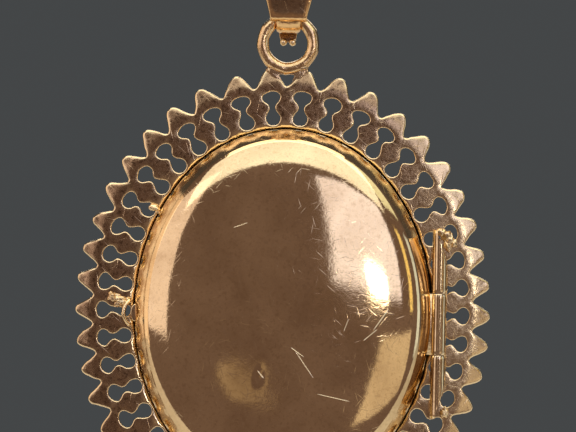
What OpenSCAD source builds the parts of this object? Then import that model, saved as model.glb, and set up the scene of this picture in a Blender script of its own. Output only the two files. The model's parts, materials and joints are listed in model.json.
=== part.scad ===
// Oval back-opening locket pendant with a pierced border, a hinged back cover,
// a glazed picture compartment, a suspension ring and a folded bail.
// The pendant hangs in the X-Z plane. +Z is up, -Y is the back with the hinged cover,
// +Y is the front that is worn outwards. The origin is the centre of the bail's eye.

/* [Border] */
// Half width of the oval that the cover's foot makes on the border
case_a = 14.6; // [12:0.1:18]
// Half height of that oval
case_b = 18.1; // [15:0.1:22]
// How far the tooth tips stand out beyond the case oval
border_reach = 6; // [5:0.1:7.5]
// Thickness of the border plate
border_t = 0.9; // [0.6:0.05:1.4]
// Number of teeth, with one pierced slot under each
teeth = 42; // [30:2:54]
// Height of a tooth above its notch
tooth_depth = 1.65; // [1:0.05:2]
// Roundness of a tooth: lower is broader at the tip
tooth_power = 0.8; // [0.5:0.05:1.2]
// Offset of the outer piercings from the case oval
outer_hole_off = 3.2; // [2.8:0.05:3.6]
// Radius of the outer piercings
outer_hole_r = 0.8; // [0.4:0.01:0.9]
// Offset of the inner piercings from the case oval
inner_hole_off = 1.15; // [1.05:0.05:1.5]
// Radius of the inner piercings
inner_hole_r = 0.74; // [0.4:0.01:0.8]
// Width of the neck that joins an outer and an inner piercing
neck_w = 0.54; // [0.3:0.02:0.8]

/* [Back cover] */
// Sheet thickness of the cover
cover_t = 0.4; // [0.3:0.05:0.6]
// Gap between the cover's foot and the border
cover_gap = 0.1; // [0.05:0.01:0.2]
// Height of the upright skirt at the cover's foot
skirt_h = 0.75; // [0.65:0.05:1.2]
// Height of the sloped side above the skirt
cover_wall_h = 1.25; // [0.8:0.05:2]
// How far the sloped side leans in over that height
cover_wall_lean = 0.7; // [0.4:0.05:1]
// Rise of the dome above the sloped side
dome_h = 1.95; // [1.5:0.05:3.5]
// Squareness of the dome: 2 is an ellipse, more is flatter
dome_power = 2.35; // [2:0.05:3]
// Thickness of the snap rim inside the cover
snap_t = 0.35; // [0.2:0.05:0.5]
// Height of the snap rim
snap_h = 0.6; // [0.4:0.05:0.65]
// Clearance between the snap rim and the case wall
snap_clear = 0.08; // [0.05:0.01:0.15]
// Share of the half width, on the hinge side, where the snap rim stops
snap_stop = 0.35; // [0.2:0.05:0.6]
// Width of the finger tab
tab_w = 1.7; // [1.2:0.1:1.9]
// How far the finger tab stands out beyond the cover's foot
tab_out = 0.45; // [0.3:0.05:0.6]

/* [Case and front] */
// Thickness of the case wall
wall_t = 0.45; // [0.3:0.05:0.7]
// How far the case wall stands above the back of the border
wall_back = 0.75; // [0.6:0.05:0.9]
// How far the case wall stands above the front of the border
wall_front = 1.2; // [1:0.1:1.6]
// Sheet thickness of the front shell
front_t = 0.4; // [0.3:0.05:0.6]
// How far the front shell's foot is inside the case oval
front_inset = 0.25; // [0.2:0.05:0.35]
// Height of the front shell's upright side
front_side_h = 1.3; // [0.8:0.1:2]
// Rise of the front dome above that side
front_dome_h = 2.2; // [1.5:0.1:3.5]
// Radius of the twisted wire round the front shell
twist_r = 0.42; // [0.25:0.01:0.5]

/* [Picture compartment] */
// Thickness of the compartment floor
floor_t = 0.3; // [0.2:0.05:0.5]
// Thickness of the padded backing
backing_t = 0.25; // [0.15:0.05:0.4]
// Thickness of the picture card
card_t = 0.2; // [0.1:0.05:0.3]
// Thickness of the glass
glass_t = 0.6; // [0.4:0.05:0.9]
// Width of the glass rim's lip over the glass
glass_lip = 0.8; // [0.5:0.1:1.5]
// Thickness of the glass rim's lip
glass_lip_t = 0.3; // [0.2:0.05:0.5]
// Slip clearance of the pieces that drop into the case
slip = 0.06; // [0.03:0.01:0.1]

/* [Hinge] */
// Radius of the hinge tube
tube_r = 0.75; // [0.5:0.05:1]
// Radius of the hinge pin
pin_r = 0.28; // [0.2:0.01:0.35]
// Running clearance of the moving knuckle on the pin
pin_clear = 0.05; // [0.02:0.01:0.1]
// Gap between the case oval and the hinge tube
tube_off = 0.05; // [0.03:0.01:0.15]
// Height of the moving knuckle's middle
hinge_z = -0.85; // [-2:0.05:2]
// Length of the moving knuckle
middle_len = 6; // [4:0.1:8]
// Length of each fixed knuckle, with its filed end
end_len = 6.2; // [4:0.1:7]
// Length of the filed round end
filed_len = 3.7; // [2:0.1:3.8]
// Gap between two knuckles
knuckle_gap = 0.08; // [0.05:0.01:0.15]

/* [Ring and bail] */
// Inner radius of the suspension ring
ring_in = 1.8; // [1.6:0.05:2.2]
// Radial thickness of the ring
ring_w = 1.25; // [0.8:0.05:1.4]
// Thickness of the ring from front to back
ring_t = 1.2; // [0.8:0.05:1.4]
// Width of the ring's worn bevels
ring_bevel = 0.28; // [0.1:0.02:0.35]
// How deep the ring sits between the two top teeth
ring_sink = 0.35; // [0.2:0.05:0.8]
// Sheet thickness of the bail
bail_t = 0.4; // [0.3:0.05:0.5]
// Inner radius of the bail's eye
eye_r = 3; // [2.2:0.1:3.6]
// Clearance of the bail's fold round the ring
fold_clear = 0.08; // [0.05:0.01:0.2]
// Height of the eye's centre above the middle of the ring's top
eye_rise = 7.2; // [6:0.1:9]
// Half width of the bail where it passes through the ring
fold_w = 1.2; // [0.8:0.05:1.3]
// Half width of the bail just above the ring
shoulder_w = 1.8; // [1.4:0.05:2.2]
// Half width of the bail at its widest
bail_w = 3.3; // [2.4:0.1:4]
// Thickness of the drop's leaf
drop_t = 0.35; // [0.25:0.05:0.5]
// How far the drop hangs below the fold
drop_len = 1.15; // [0.8:0.05:1.3]
// Radius of the two beads on the drop
bead_r = 0.34; // [0.2:0.02:0.4]

/* [Hidden] */
$fn = 96;
gold = [0.86, 0.65, 0.38];
rose_gold = [0.80, 0.56, 0.38];
dull_gold = [0.60, 0.45, 0.30];

// levels along Y: the border's mid-plane is at 0, the back is negative
back_face = border_t / 2;
cover_foot = back_face + cover_gap;
case_inset = cover_t + snap_t + snap_clear;
bore_inset = case_inset + wall_t;
slip_inset = bore_inset + slip;
wall_end = back_face + wall_back;
lip_y = -(wall_end - 0.1);
glass_y = lip_y + glass_lip_t;
card_y = glass_y + glass_t;
backing_y = card_y + card_t;
floor_y = backing_y + backing_t;

// the hinge axis is parallel to Z
axis_x = case_a + tube_off + tube_r;
axis_y = -(back_face + tube_r);
middle_top = hinge_z + middle_len / 2;
middle_foot = hinge_z - middle_len / 2;

// the ring lies in the border's plane, the bail's fold goes round its top
ring_out = ring_in + ring_w;
ring_z = case_b + border_reach - ring_sink + ring_out;
fold_z = ring_z + ring_in + ring_w / 2;
arc_drop = ring_in - sqrt(ring_in * ring_in - fold_w * fold_w);
fold_r = ring_w / 2 + arc_drop + fold_clear;
eye_z = fold_z + eye_rise;
lean = asin((eye_r - fold_r) / eye_rise);

// how far a tooth's place round the oval runs ahead of its even share
skew = (case_b * case_b - case_a * case_a) / (4 * (case_a * case_a + case_b * case_b)) * 180 / PI;
pitch = 360 / teeth;
steps = 10;
facets = 96;

function place(share) = share - skew * sin(2 * share);
function oval_normal(t) = let (n = [case_b * cos(t), case_a * sin(t)]) n / norm(n);
function off_oval(share, off) = let (t = place(share))
    [case_a * cos(t), case_b * sin(t)] + off * oval_normal(t);
function tooth_off(u) = border_reach - tooth_depth
    + tooth_depth * pow((1 + cos(180 * u)) / 2, tooth_power);

// a flat piece in the X-Z plane, from y0 to y1
module slab(y0, y1) {
    translate([0, y1, 0]) rotate([90, 0, 0]) linear_extrude(y1 - y0) children();
}

// a side-on piece in the Y-Z plane, to both sides of x = 0
module side_slab(w) {
    rotate([90, 0, 90]) translate([0, 0, -w]) linear_extrude(2 * w) children();
}

// the case oval, drawn in by inset
function oval_point(i, inset) = let (t = 360 * i / facets)
    [(case_a - inset) * cos(t), (case_b - inset) * sin(t)];

module oval(inset) {
    polygon([for (i = [0 : facets - 1]) oval_point(i, inset)]);
}

module oval_ring(outer, inner) {
    difference() {
        oval(outer);
        oval(inner);
    }
}

module all_down() {
    translate([0, 0, -eye_z]) children();
}

/* ---- border ---- */

module tooth_outline() {
    polygon([for (i = [0 : teeth - 1], j = [0 : steps - 1])
        let (u = 2 * j / steps - 1) off_oval(90 + (i + 0.5 + u / 2) * pitch, tooth_off(u))]);
}

module piercing(i) {
    share = 90 + (i + 0.5) * pitch;
    inner = off_oval(share, inner_hole_off);
    outer = off_oval(share, outer_hole_off);
    run = outer - inner;
    translate(inner) circle(r = inner_hole_r, $fn = 32);
    translate(outer) circle(r = outer_hole_r, $fn = 32);
    translate(inner) rotate(atan2(run[1], run[0])) translate([0, -neck_w / 2]) square([norm(run), neck_w]);
}

module ring_seat() {
    translate([0, ring_z]) circle(r = ring_out);
}

module border_frame() {
    color(dull_gold) slab(-back_face, back_face) difference() {
        tooth_outline();
        oval(case_inset);
        for (i = [0 : teeth - 1]) piercing(i);
        ring_seat();
    }
}

/* ---- suspension ring ---- */

module ring_section() {
    b = ring_bevel;
    h = ring_t / 2;
    polygon([
        [ring_in + b, -h], [ring_out - b, -h], [ring_out, -h + b], [ring_out, h - b],
        [ring_out - b, h], [ring_in + b, h], [ring_in, h - b], [ring_in, -h + b]
    ]);
}

module suspension_ring() {
    color(gold) translate([0, 0, ring_z]) rotate([90, 0, 0]) rotate_extrude() ring_section();
}

// two fillets of solder between the ring and the tips of the top teeth
module ring_solder() {
    tip = off_oval(90 + pitch / 2, border_reach);
    color(rose_gold) for (side = [-1, 1]) slab(-back_face * 0.7, back_face * 0.7) difference() {
        translate([side * tip[0] * 1.05, tip[1]]) circle(r = 0.55, $fn = 32);
        ring_seat();
        tooth_outline();
    }
}

/* ---- case and picture compartment ---- */

module case_wall() {
    color(gold) slab(-wall_end, back_face + wall_front) oval_ring(case_inset, bore_inset);
}

module compartment_floor() {
    color(gold) slab(floor_y, floor_y + floor_t) oval(bore_inset);
}

module picture_backing() {
    color([0.45, 0.16, 0.16]) slab(backing_y, floor_y) oval(slip_inset);
}

module picture_card() {
    color([0.90, 0.86, 0.76]) slab(card_y, backing_y) oval(slip_inset);
}

module picture_glass() {
    color([0.85, 0.92, 0.93, 0.4]) slab(glass_y, card_y) oval(slip_inset);
}

module glass_rim() {
    color(gold) slab(lip_y, glass_y) oval_ring(slip_inset, slip_inset + glass_lip);
}

/* ---- front ---- */

// a dome's section from the middle out to its edge, as [inset of the edge, height, share of the way out]
function dome_curve(inset, h0, rise, start) = [for (i = [0 : 10])
    let (full = pow(1 - pow(start, dome_power), 1 / dome_power), share = sin(9 * i),
         h = pow(1 - pow(share * full, dome_power), 1 / dome_power))
    [inset, h0 + rise * (h - start) / (1 - start), share]];

// a thin bowl: the outer section runs down from the apex, the inner one back up
// each entry is [inset, height, share], the first and last ones close to a point
module bowl(section, sign) {
    n = len(section);
    pts = concat(
        [[0, sign * section[0][1], 0]],
        [for (k = [1 : n - 2], i = [0 : facets - 1])
            let (p = oval_point(i, section[k][0]) * section[k][2]) [p[0], sign * section[k][1], p[1]]],
        [[0, sign * section[n - 1][1], 0]]
    );
    tip = len(pts) - 1;
    fan0 = [for (i = [0 : facets - 1]) [0, 1 + i, 1 + (i + 1) % facets]];
    sides = [for (k = [0 : n - 4], i = [0 : facets - 1], half = [0, 1])
        let (a = 1 + k * facets + i, b = 1 + k * facets + (i + 1) % facets)
        half == 0 ? [a, a + facets, b] : [b, a + facets, b + facets]];
    base = 1 + (n - 3) * facets;
    fan1 = [for (i = [0 : facets - 1]) [tip, base + (i + 1) % facets, base + i]];
    faces = concat(fan0, sides, fan1);
    polyhedron(points = pts, faces = sign < 0 ? faces : [for (f = faces) [f[2], f[1], f[0]]]);
}

function turned(list) = [for (i = [len(list) - 1 : -1 : 0]) list[i]];

module front_shell() {
    y0 = back_face;
    side = y0 + front_side_h;
    inner = front_inset + front_t;
    color(gold) bowl(concat(
        dome_curve(front_inset, side, front_dome_h, 0), [[front_inset, y0, 1], [inner, y0, 1]],
        turned(dome_curve(inner, side, front_dome_h - front_t, 0))
    ), 1);
}

module front_twist_wire() {
    turns = 12;
    pts = [for (i = [0 : facets - 1], j = [0 : turns - 1])
        let (t = 360 * i / facets, out = oval_normal(t), p = oval_point(i, front_inset),
             u = 360 * (j + 0.5) / turns, reach = twist_r * (1 + cos(u)) + 0.02)
        [p[0] + out[0] * reach, back_face + twist_r * (cos(180 / turns) + sin(u)), p[1] + out[1] * reach]];
    color(rose_gold) polyhedron(points = pts, faces = [
        for (i = [0 : facets - 1], j = [0 : turns - 1], half = [0, 1])
            let (a = i * turns + j, b = i * turns + (j + 1) % turns, next = (i + 1) % facets * turns,
                 c = next + j, d = next + (j + 1) % turns)
            half == 0 ? [a, c, b] : [b, c, d]
    ]);
}

/* ---- back cover ---- */

module back_cover() {
    skirt = cover_foot + skirt_h;
    shoulder = skirt + cover_wall_h;
    color(gold) bowl(concat(
        dome_curve(cover_wall_lean, shoulder, dome_h, 0.2),
        [[0, skirt, 1], [0, cover_foot, 1], [cover_t, cover_foot, 1], [cover_t, skirt, 1]],
        turned(dome_curve(cover_wall_lean + cover_t, shoulder, dome_h - cover_t, 0.2))
    ), -1);
}

module cover_snap_rim() {
    color(gold) slab(-(cover_foot + snap_h), -cover_foot) difference() {
        oval_ring(cover_t, cover_t + snap_t);
        translate([case_a * snap_stop, -case_b]) square([case_a, 2 * case_b]);
    }
}

module finger_tab() {
    color(rose_gold) slab(-(cover_foot + skirt_h), -cover_foot) difference() {
        translate([-case_a - tab_out, -tab_w / 2 - 0.25]) square([tab_out + 1, tab_w]);
        oval(0);
    }
}

/* ---- hinge ---- */

module tube(z0, z1, r) {
    translate([axis_x, axis_y, z0]) cylinder(r = r, h = z1 - z0, $fn = 48);
}

module fixed_knuckle(z0, up) {
    flat = end_len - filed_len;
    left = axis_x - tube_r;
    color(gold) difference() {
        intersection() {
            tube(up > 0 ? z0 : z0 - end_len, up > 0 ? z0 + end_len : z0, tube_r);
            slab(axis_y - 2 * tube_r, axis_y + 2 * tube_r) union() {
                translate([left, up > 0 ? z0 : z0 - flat]) square([2 * tube_r, flat]);
                translate([left, z0 + up * flat]) scale([2 * tube_r, filed_len]) circle(r = 1);
            }
        }
        tube(up > 0 ? z0 - 1 : z0 - end_len - 1, up > 0 ? z0 + end_len + 1 : z0 + 1, pin_r);
    }
}

module hinge_knuckle_upper() {
    fixed_knuckle(middle_top + knuckle_gap, 1);
}

module hinge_knuckle_lower() {
    fixed_knuckle(middle_foot - knuckle_gap, -1);
}

module hinge_knuckle_middle() {
    color(gold) difference() {
        tube(middle_foot, middle_top, tube_r);
        tube(middle_foot - 1, middle_top + 1, pin_r + pin_clear);
    }
}

module hinge_pin() {
    reach = end_len - filed_len / 2;
    color(rose_gold) tube(middle_foot - reach, middle_top + reach, pin_r);
}

// the seam that joins the moving knuckle to the cover's side
module hinge_leaf() {
    color(gold) difference() {
        slab(-(cover_foot + skirt_h), -(cover_foot + 0.15)) difference() {
            translate([case_a - 1, middle_foot]) square([1 + tube_off + tube_r * 0.5, middle_len]);
            oval(0);
        }
        tube(middle_foot - 1, middle_top + 1, tube_r);
    }
}

// solder feet that hold the fixed knuckles on the border
module hinge_feet() {
    foot_len = end_len - filed_len / 2;
    color(rose_gold) difference() {
        for (z0 = [middle_top + knuckle_gap, middle_foot - knuckle_gap - foot_len])
            translate([axis_x - tube_r * 0.8, axis_y, z0]) cube([tube_r * 1.8, tube_r, foot_len]);
        tube(middle_foot - 20, middle_top + 20, tube_r);
    }
}

/* ---- thumb guard and eyelet ---- */

module arc_band(r, t, a0, a1) {
    far = 3 * r;
    intersection() {
        difference() {
            circle(r = r);
            circle(r = r - t);
        }
        polygon([[0, 0], [far * cos(a0), far * sin(a0)], [-far, 0], [far * cos(a1), far * sin(a1)]]);
    }
}

module thumb_guard() {
    color(rose_gold) slab(-(back_face + 1), -back_face)
        translate([-case_a + 0.4, -0.25]) arc_band(1.75, 0.4, 128, 232);
}

module guard_solder() {
    color(rose_gold) slab(-(back_face + 0.45), -back_face) difference() {
        translate([-case_a - 1.95, 1.55]) circle(r = 0.75, $fn = 32);
        translate([-case_a + 0.4, -0.25]) circle(r = 1.75);
    }
}

module safety_eyelet() {
    spot = off_oval(145.5, 0.27);
    hang = off_oval(145.5, 0.85);
    color(rose_gold) {
        translate([spot[0], -back_face, spot[1]]) rotate([90, 0, 0]) cylinder(r = 0.2, h = 0.35, $fn = 24);
        translate([hang[0], -(back_face + 0.3), hang[1]]) rotate([90, 0, 0])
            rotate_extrude() translate([0.42, 0]) circle(r = 0.16, $fn = 24);
    }
}

/* ---- bail ---- */

// two circles, one over the other, with their common tangents
module drop_shape(grow) {
    polygon([
        [(fold_r + grow) * cos(lean), fold_z - (fold_r + grow) * sin(lean)],
        [(eye_r + grow) * cos(lean), eye_z - (eye_r + grow) * sin(lean)],
        [-(eye_r + grow) * cos(lean), eye_z - (eye_r + grow) * sin(lean)],
        [-(fold_r + grow) * cos(lean), fold_z - (fold_r + grow) * sin(lean)]
    ]);
    translate([0, fold_z]) circle(r = fold_r + grow);
    translate([0, eye_z]) circle(r = eye_r + grow);
}

// half widths of the strip against height, from the fold to the top
module strip_outline() {
    top = eye_z + eye_r + bail_t + 1;
    flare = bail_w - shoulder_w;
    half = [
        [fold_w, fold_z - fold_r - bail_t - 1], [fold_w, fold_z - 0.45],
        [(fold_w + shoulder_w) / 2, fold_z - 0.2],
        [shoulder_w, fold_z + 0.05], [shoulder_w + flare * 0.4, fold_z + eye_rise * 0.33],
        [shoulder_w + flare * 0.75, fold_z + eye_rise * 0.65], [bail_w, eye_z], [bail_w, top]
    ];
    last = len(half) - 1;
    polygon(concat(half, [for (i = [0 : last]) [-half[last - i][0], half[last - i][1]]]));
}

module bail_strip() {
    color(gold) intersection() {
        side_slab(bail_w + 1) difference() {
            drop_shape(bail_t);
            drop_shape(0);
        }
        slab(-eye_r - 2, eye_r + 2) strip_outline();
    }
}

// the leaf that hangs in front of the ring
module drop_outline() {
    foot = fold_z - fold_r - bail_t - drop_len + bead_r;
    half = [[0.72, foot], [1.05, foot + 0.9], [1.35, foot + 1.5], [1.6, fold_z + 0.6], [0.9, fold_z + 1.6]];
    last = len(half) - 1;
    polygon(concat(half, [for (i = [0 : last]) [-half[last - i][0], half[last - i][1]]]));
}

module drop_plane() {
    r = fold_r + bail_t;
    translate([0, 0, fold_z]) rotate([-lean, 0, 0]) translate([-3, r, -5]) cube([6, drop_t, 9]);
}

module beads() {
    foot = fold_z - fold_r - bail_t - drop_len;
    y = (fold_r + bail_t) / cos(lean) + (foot - fold_z) * tan(lean) + 0.12;
    for (side = [-1, 1]) translate([side * 0.42, y, foot + bead_r]) sphere(r = bead_r, $fn = 32);
}

module bail_drop() {
    color(rose_gold) difference() {
        intersection() {
            drop_plane();
            slab(0, 4) drop_outline();
        }
        beads();
    }
}

module bail_drop_beads() {
    color(gold) beads();
}

all_down() {
    bail_strip();
    bail_drop();
    bail_drop_beads();
    border_frame();
    suspension_ring();
    ring_solder();
    case_wall();
    compartment_floor();
    picture_backing();
    picture_card();
    picture_glass();
    glass_rim();
    front_shell();
    front_twist_wire();
    hinge_knuckle_upper();
    hinge_knuckle_lower();
    hinge_pin();
    hinge_feet();
    thumb_guard();
    guard_solder();
    safety_eyelet();
    back_cover();
    cover_snap_rim();
    hinge_knuckle_middle();
    hinge_leaf();
    finger_tab();
}
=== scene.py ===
import json
import math

import bpy
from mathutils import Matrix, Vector, noise
from mathutils.geometry import delaunay_2d_cdt


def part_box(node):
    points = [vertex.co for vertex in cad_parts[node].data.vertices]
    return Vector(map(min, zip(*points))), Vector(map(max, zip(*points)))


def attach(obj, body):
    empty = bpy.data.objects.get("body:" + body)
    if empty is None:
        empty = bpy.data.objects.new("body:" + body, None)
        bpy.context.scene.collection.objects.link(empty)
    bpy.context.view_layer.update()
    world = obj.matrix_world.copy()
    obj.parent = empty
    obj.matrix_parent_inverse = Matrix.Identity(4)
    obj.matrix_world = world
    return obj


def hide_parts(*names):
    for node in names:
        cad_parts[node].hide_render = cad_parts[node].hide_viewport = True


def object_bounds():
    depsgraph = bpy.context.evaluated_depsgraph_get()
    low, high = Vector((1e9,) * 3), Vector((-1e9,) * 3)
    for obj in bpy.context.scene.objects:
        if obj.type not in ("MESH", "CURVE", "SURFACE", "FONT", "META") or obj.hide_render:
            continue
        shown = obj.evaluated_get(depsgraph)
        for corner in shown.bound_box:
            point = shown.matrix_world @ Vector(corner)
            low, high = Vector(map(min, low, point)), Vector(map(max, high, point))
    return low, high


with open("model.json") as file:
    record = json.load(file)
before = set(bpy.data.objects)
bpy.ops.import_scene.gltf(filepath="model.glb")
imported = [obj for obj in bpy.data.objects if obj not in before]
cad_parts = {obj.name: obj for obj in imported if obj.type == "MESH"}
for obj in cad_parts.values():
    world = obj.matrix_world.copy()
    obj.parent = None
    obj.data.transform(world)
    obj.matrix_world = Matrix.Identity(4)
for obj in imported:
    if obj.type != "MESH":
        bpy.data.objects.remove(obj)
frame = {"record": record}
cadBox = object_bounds()
mm = 0.001

# sizes and places from the frame, in mm: x to the hinge, y to the front, z up from the oval's centre
coverLow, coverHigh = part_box("back_cover")
borderLow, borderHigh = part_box("border_frame")
ovalZ = (borderLow[2] + borderHigh[2]) / 2 / mm
caseA = (coverHigh[0] - coverLow[0]) / 2 / mm
caseB = (coverHigh[2] - coverLow[2]) / 2 / mm
borderHalf = (borderHigh[1] - borderLow[1]) / 2 / mm
joints = {j["name"]: j for j in frame["record"]["behaviour"]["joints"]}
skew = (caseB ** 2 - caseA ** 2) / (4 * (caseA ** 2 + caseB ** 2))   # keeps the teeth evenly spaced


# a node's lowest and highest corners
def nodeBox(node):
    return [(x / mm, y / mm, z / mm - ovalZ) for x, y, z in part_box(node)]


def smooth(lo, hi, x):
    k = min(1.0, max(0.0, (x - lo) / (hi - lo)))
    return k * k * (3 - 2 * k)


# place on the oval: share is the even turn in radians, v the offset outwards
def onOval(share, v=0.0):
    t = share - skew * math.sin(2 * share)
    nx, nz = caseB * math.cos(t), caseA * math.sin(t)
    size = math.hypot(nx, nz)
    return caseA * math.cos(t) + v * nx / size, caseB * math.sin(t) + v * nz / size


def addToScene(name, data):
    obj = bpy.data.objects.new(name, data)
    bpy.context.collection.objects.link(obj)
    return obj


# mesh helpers: points come in mm from the oval's centre

def addMesh(name, verts, faces, edge=None, sharp=None):
    mesh = bpy.data.meshes.new(name)
    mesh.from_pydata([(x * mm, y * mm, (z + ovalZ) * mm) for x, y, z in verts], [], faces)
    mesh.calc_loop_triangles()
    volume = 0.0
    middle = sum((v.co for v in mesh.vertices), Vector()) / len(mesh.vertices)
    for tri in mesh.loop_triangles:
        a, b, c = (mesh.vertices[i].co - middle for i in tri.vertices)
        volume += a.dot(b.cross(c))
    if volume < 0:
        mesh.flip_normals()
    mesh.shade_smooth()
    if sharp:
        mesh.set_sharp_from_angle(angle=math.radians(sharp))
    mesh.attributes.new("edge", "FLOAT", "POINT").data.foreach_set("value", edge or [0.0] * len(verts))
    return addToScene(name, mesh)


def gridFaces(rows, cols, closeRows=False, closeCols=True):
    faces = []
    for r in range(rows if closeRows else rows - 1):
        n = (r + 1) % rows * cols
        for c in range(cols if closeCols else cols - 1):
            d = (c + 1) % cols
            faces.append((r * cols + c, r * cols + d, n + d, n + c))
    return faces


# rings of points, closed by a face at each end
def capped(rings, name, edge=None, sharp=None):
    cols = len(rings[0])
    faces = gridFaces(len(rings), cols)
    faces += [tuple(range(cols))[::-1], tuple(len(rings) * cols - cols + c for c in range(cols))]
    return addMesh(name, [p for ring in rings for p in ring], faces, edge, sharp)


# a section carried round the oval: each entry is (inset, share of the way out, y, edge wear)
def ovalSkin(name, section, closed, around=240, shape=None, sharp=None):
    verts, edge = [], []
    rows = section if closed else section[1:-1]
    for inset, share, y, wear in rows:
        for i in range(around):
            t = 2 * math.pi * i / around
            p = ((caseA - inset) * share * math.cos(t), y, (caseB - inset) * share * math.sin(t))
            verts.append(shape(p, share) if shape else p)
            edge.append(wear)
    faces = gridFaces(len(rows), around, closeRows=closed)
    if not closed:
        for end, row in ((section[0], 0), (section[-1], len(rows) - 1)):
            p = (0.0, end[2], 0.0)
            verts.append(shape(p, 0.0) if shape else p)
            edge.append(end[3])
            for i in range(around):
                a, b = row * around + i, row * around + (i + 1) % around
                faces.append((len(verts) - 1, b, a) if row == 0 else (len(verts) - 1, a, b))
    return addMesh(name, verts, faces, edge, sharp)


# a quarter round between two straight runs of a section
def roundCorner(inset, y, dInset, dY, radius, steps=4):
    points = []
    for i in range(steps + 1):
        k = math.pi / 2 * i / steps
        points.append((inset + dInset * radius * (1 - math.sin(k)), 1.0,
                       y + dY * radius * (1 - math.cos(k)), 1.0))
    return points


# a ring or a disc of the oval between two levels, with its edges rounded
def ovalRing(name, outer, inner, y0, y1, radius=0.06):
    section = roundCorner(outer, y0, 1, 1, radius) + roundCorner(outer, y1, 1, -1, radius)[::-1]
    section += roundCorner(inner, y1, -1, -1, radius) + roundCorner(inner, y0, -1, 1, radius)[::-1]
    return ovalSkin(name, section, True)


def ovalDisc(name, inset, y0, y1, radius=0.05):
    flat = inset + radius * 2.5
    section = [(inset, 0.0, y0, 0.0), (flat, 0.5, y0, 0.0), (flat, 1.0, y0, 0.0)]
    section += roundCorner(inset, y0, 1, 1, radius) + roundCorner(inset, y1, 1, -1, radius)[::-1]
    section += [(flat, 1.0, y1, 0.0), (flat, 0.5, y1, 0.0), (inset, 0.0, y1, 0.0)]
    return ovalSkin(name, section, False)


# a flat outline between two levels of y, its edges rounded towards both
def roundedPlate(name, outline, y0, y1, radius, steps=4):
    def insetBy(d):
        pts = []
        for i, (x, z) in enumerate(outline):
            (ax, az), (bx, bz) = outline[i - 1], outline[(i + 1) % len(outline)]
            tx, tz = bx - ax, bz - az
            size = math.hypot(tx, tz) or 1.0
            pts.append((x - tz / size * d, z + tx / size * d))
        return pts
    rings, edge = [], []
    for level, way in ((y0, 1), (y1, -1)):
        stack = []
        for i in range(steps + 1):
            k = math.pi / 2 * i / steps
            y = level + way * radius * (1 - math.cos(k))
            stack.append([(x, y, z) for x, z in insetBy(radius * (1 - math.sin(k)))])
        rings += stack if way > 0 else stack[::-1]
    for i, ring in enumerate(rings):
        edge += [0.0 if i in (0, len(rings) - 1) else 1.0] * len(ring)
    return capped(rings, name, edge)


# a lump of solder: a ball squashed and roughened, numbered so that no two are alike
def lumpParts(centre, radii, seed, rough=0.2, rows=14, cols=20):
    verts, faces = [], []
    for r in range(rows + 1):
        lat = math.pi * r / rows
        for c in range(cols if 0 < r < rows else 1):
            lon = 2 * math.pi * c / cols
            d = Vector((math.sin(lat) * math.cos(lon), math.sin(lat) * math.sin(lon), math.cos(lat)))
            k = 1 + rough * noise.noise(d * 1.5 + Vector((seed * 3.7, seed * 1.3, 0)))
            verts.append(tuple(centre[i] + d[i] * radii[i] * k for i in range(3)))
    last = len(verts) - 1
    for c in range(cols):
        d = (c + 1) % cols
        faces += [(0, 1 + c, 1 + d), (last, last - cols + d, last - cols + c)]
        for r in range(rows - 2):
            a, b = 1 + r * cols, 1 + (r + 1) * cols
            faces.append((a + c, b + c, b + d, a + d))
    return verts, faces


# several closed shells in one piece
def addShells(name, shells, wear=0.0, sharp=None):
    verts, faces = [], []
    for v, f in shells:
        faces += [tuple(len(verts) + i for i in face) for face in f]
        verts += v
    return addMesh(name, verts, faces, [wear] * len(verts), sharp)


# a round wire along a path
def tubeAlong(path, radius, sides=14):
    verts = []
    n = len(path)
    upright = abs((Vector(path[1]) - Vector(path[0])).normalized().z) >= 0.9
    side = Vector((1, 0, 0)) if upright else Vector((0, 0, 1))
    for i, p in enumerate(path):
        ahead, behind = Vector(path[min(i + 1, n - 1)]), Vector(path[max(i - 1, 0)])
        along = (ahead - behind).normalized()
        side = (side - along * side.dot(along)).normalized()
        up = along.cross(side)
        for k in range(sides):
            a = 2 * math.pi * k / sides
            verts.append(tuple(Vector(p) + (side * math.cos(a) + up * math.sin(a)) * radius))
    faces = gridFaces(n, sides)
    faces += [tuple(range(sides))[::-1], tuple((n - 1) * sides + k for k in range(sides))]
    return verts, faces


# geometry node helpers

def newTree(name, inputs):
    tree = bpy.data.node_groups.new(name, "GeometryNodeTree")
    for label, kind, value in inputs:
        item = tree.interface.new_socket(label, in_out="INPUT", socket_type="NodeSocket" + kind)
        if value is not None:
            item.default_value = value
    tree.interface.new_socket("Geometry", in_out="OUTPUT", socket_type="NodeSocketGeometry")
    return tree, tree.nodes.new("NodeGroupInput"), tree.nodes.new("NodeGroupOutput")


# the last step of every tree
def endTree(tree, given, out, geometry):
    last = place(tree, "GeometryNodeSetMaterial", {"Geometry": geometry, "Material": given.outputs["Material"]})
    tree.links.new(last.outputs[0], out.inputs[0])
    return tree


def mathIn(tree):
    def op(kind, *args):
        node = tree.nodes.new("ShaderNodeMath")
        node.operation = kind
        for i, arg in enumerate(args):
            if isinstance(arg, bpy.types.NodeSocket):
                tree.links.new(arg, node.inputs[i])
            else:
                node.inputs[i].default_value = arg
        return node.outputs[0]
    return op


# runs a tree with the given inputs and keeps only the mesh that comes out
def grown(name, tree, values):
    host = addToScene(name + ".host", bpy.data.meshes.new(name + ".host"))
    modifier = host.modifiers.new("grow", "NODES")
    modifier.node_group = tree
    for item in tree.interface.items_tree:
        if item.in_out == "INPUT" and item.name in values:
            modifier[item.identifier] = values[item.name]
    graph = bpy.context.evaluated_depsgraph_get()
    mesh = bpy.data.meshes.new_from_object(host.evaluated_get(graph), preserve_all_data_layers=True,
                                           depsgraph=graph)
    bpy.data.objects.remove(host)
    mesh.name = name
    return addToScene(name, mesh)


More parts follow.
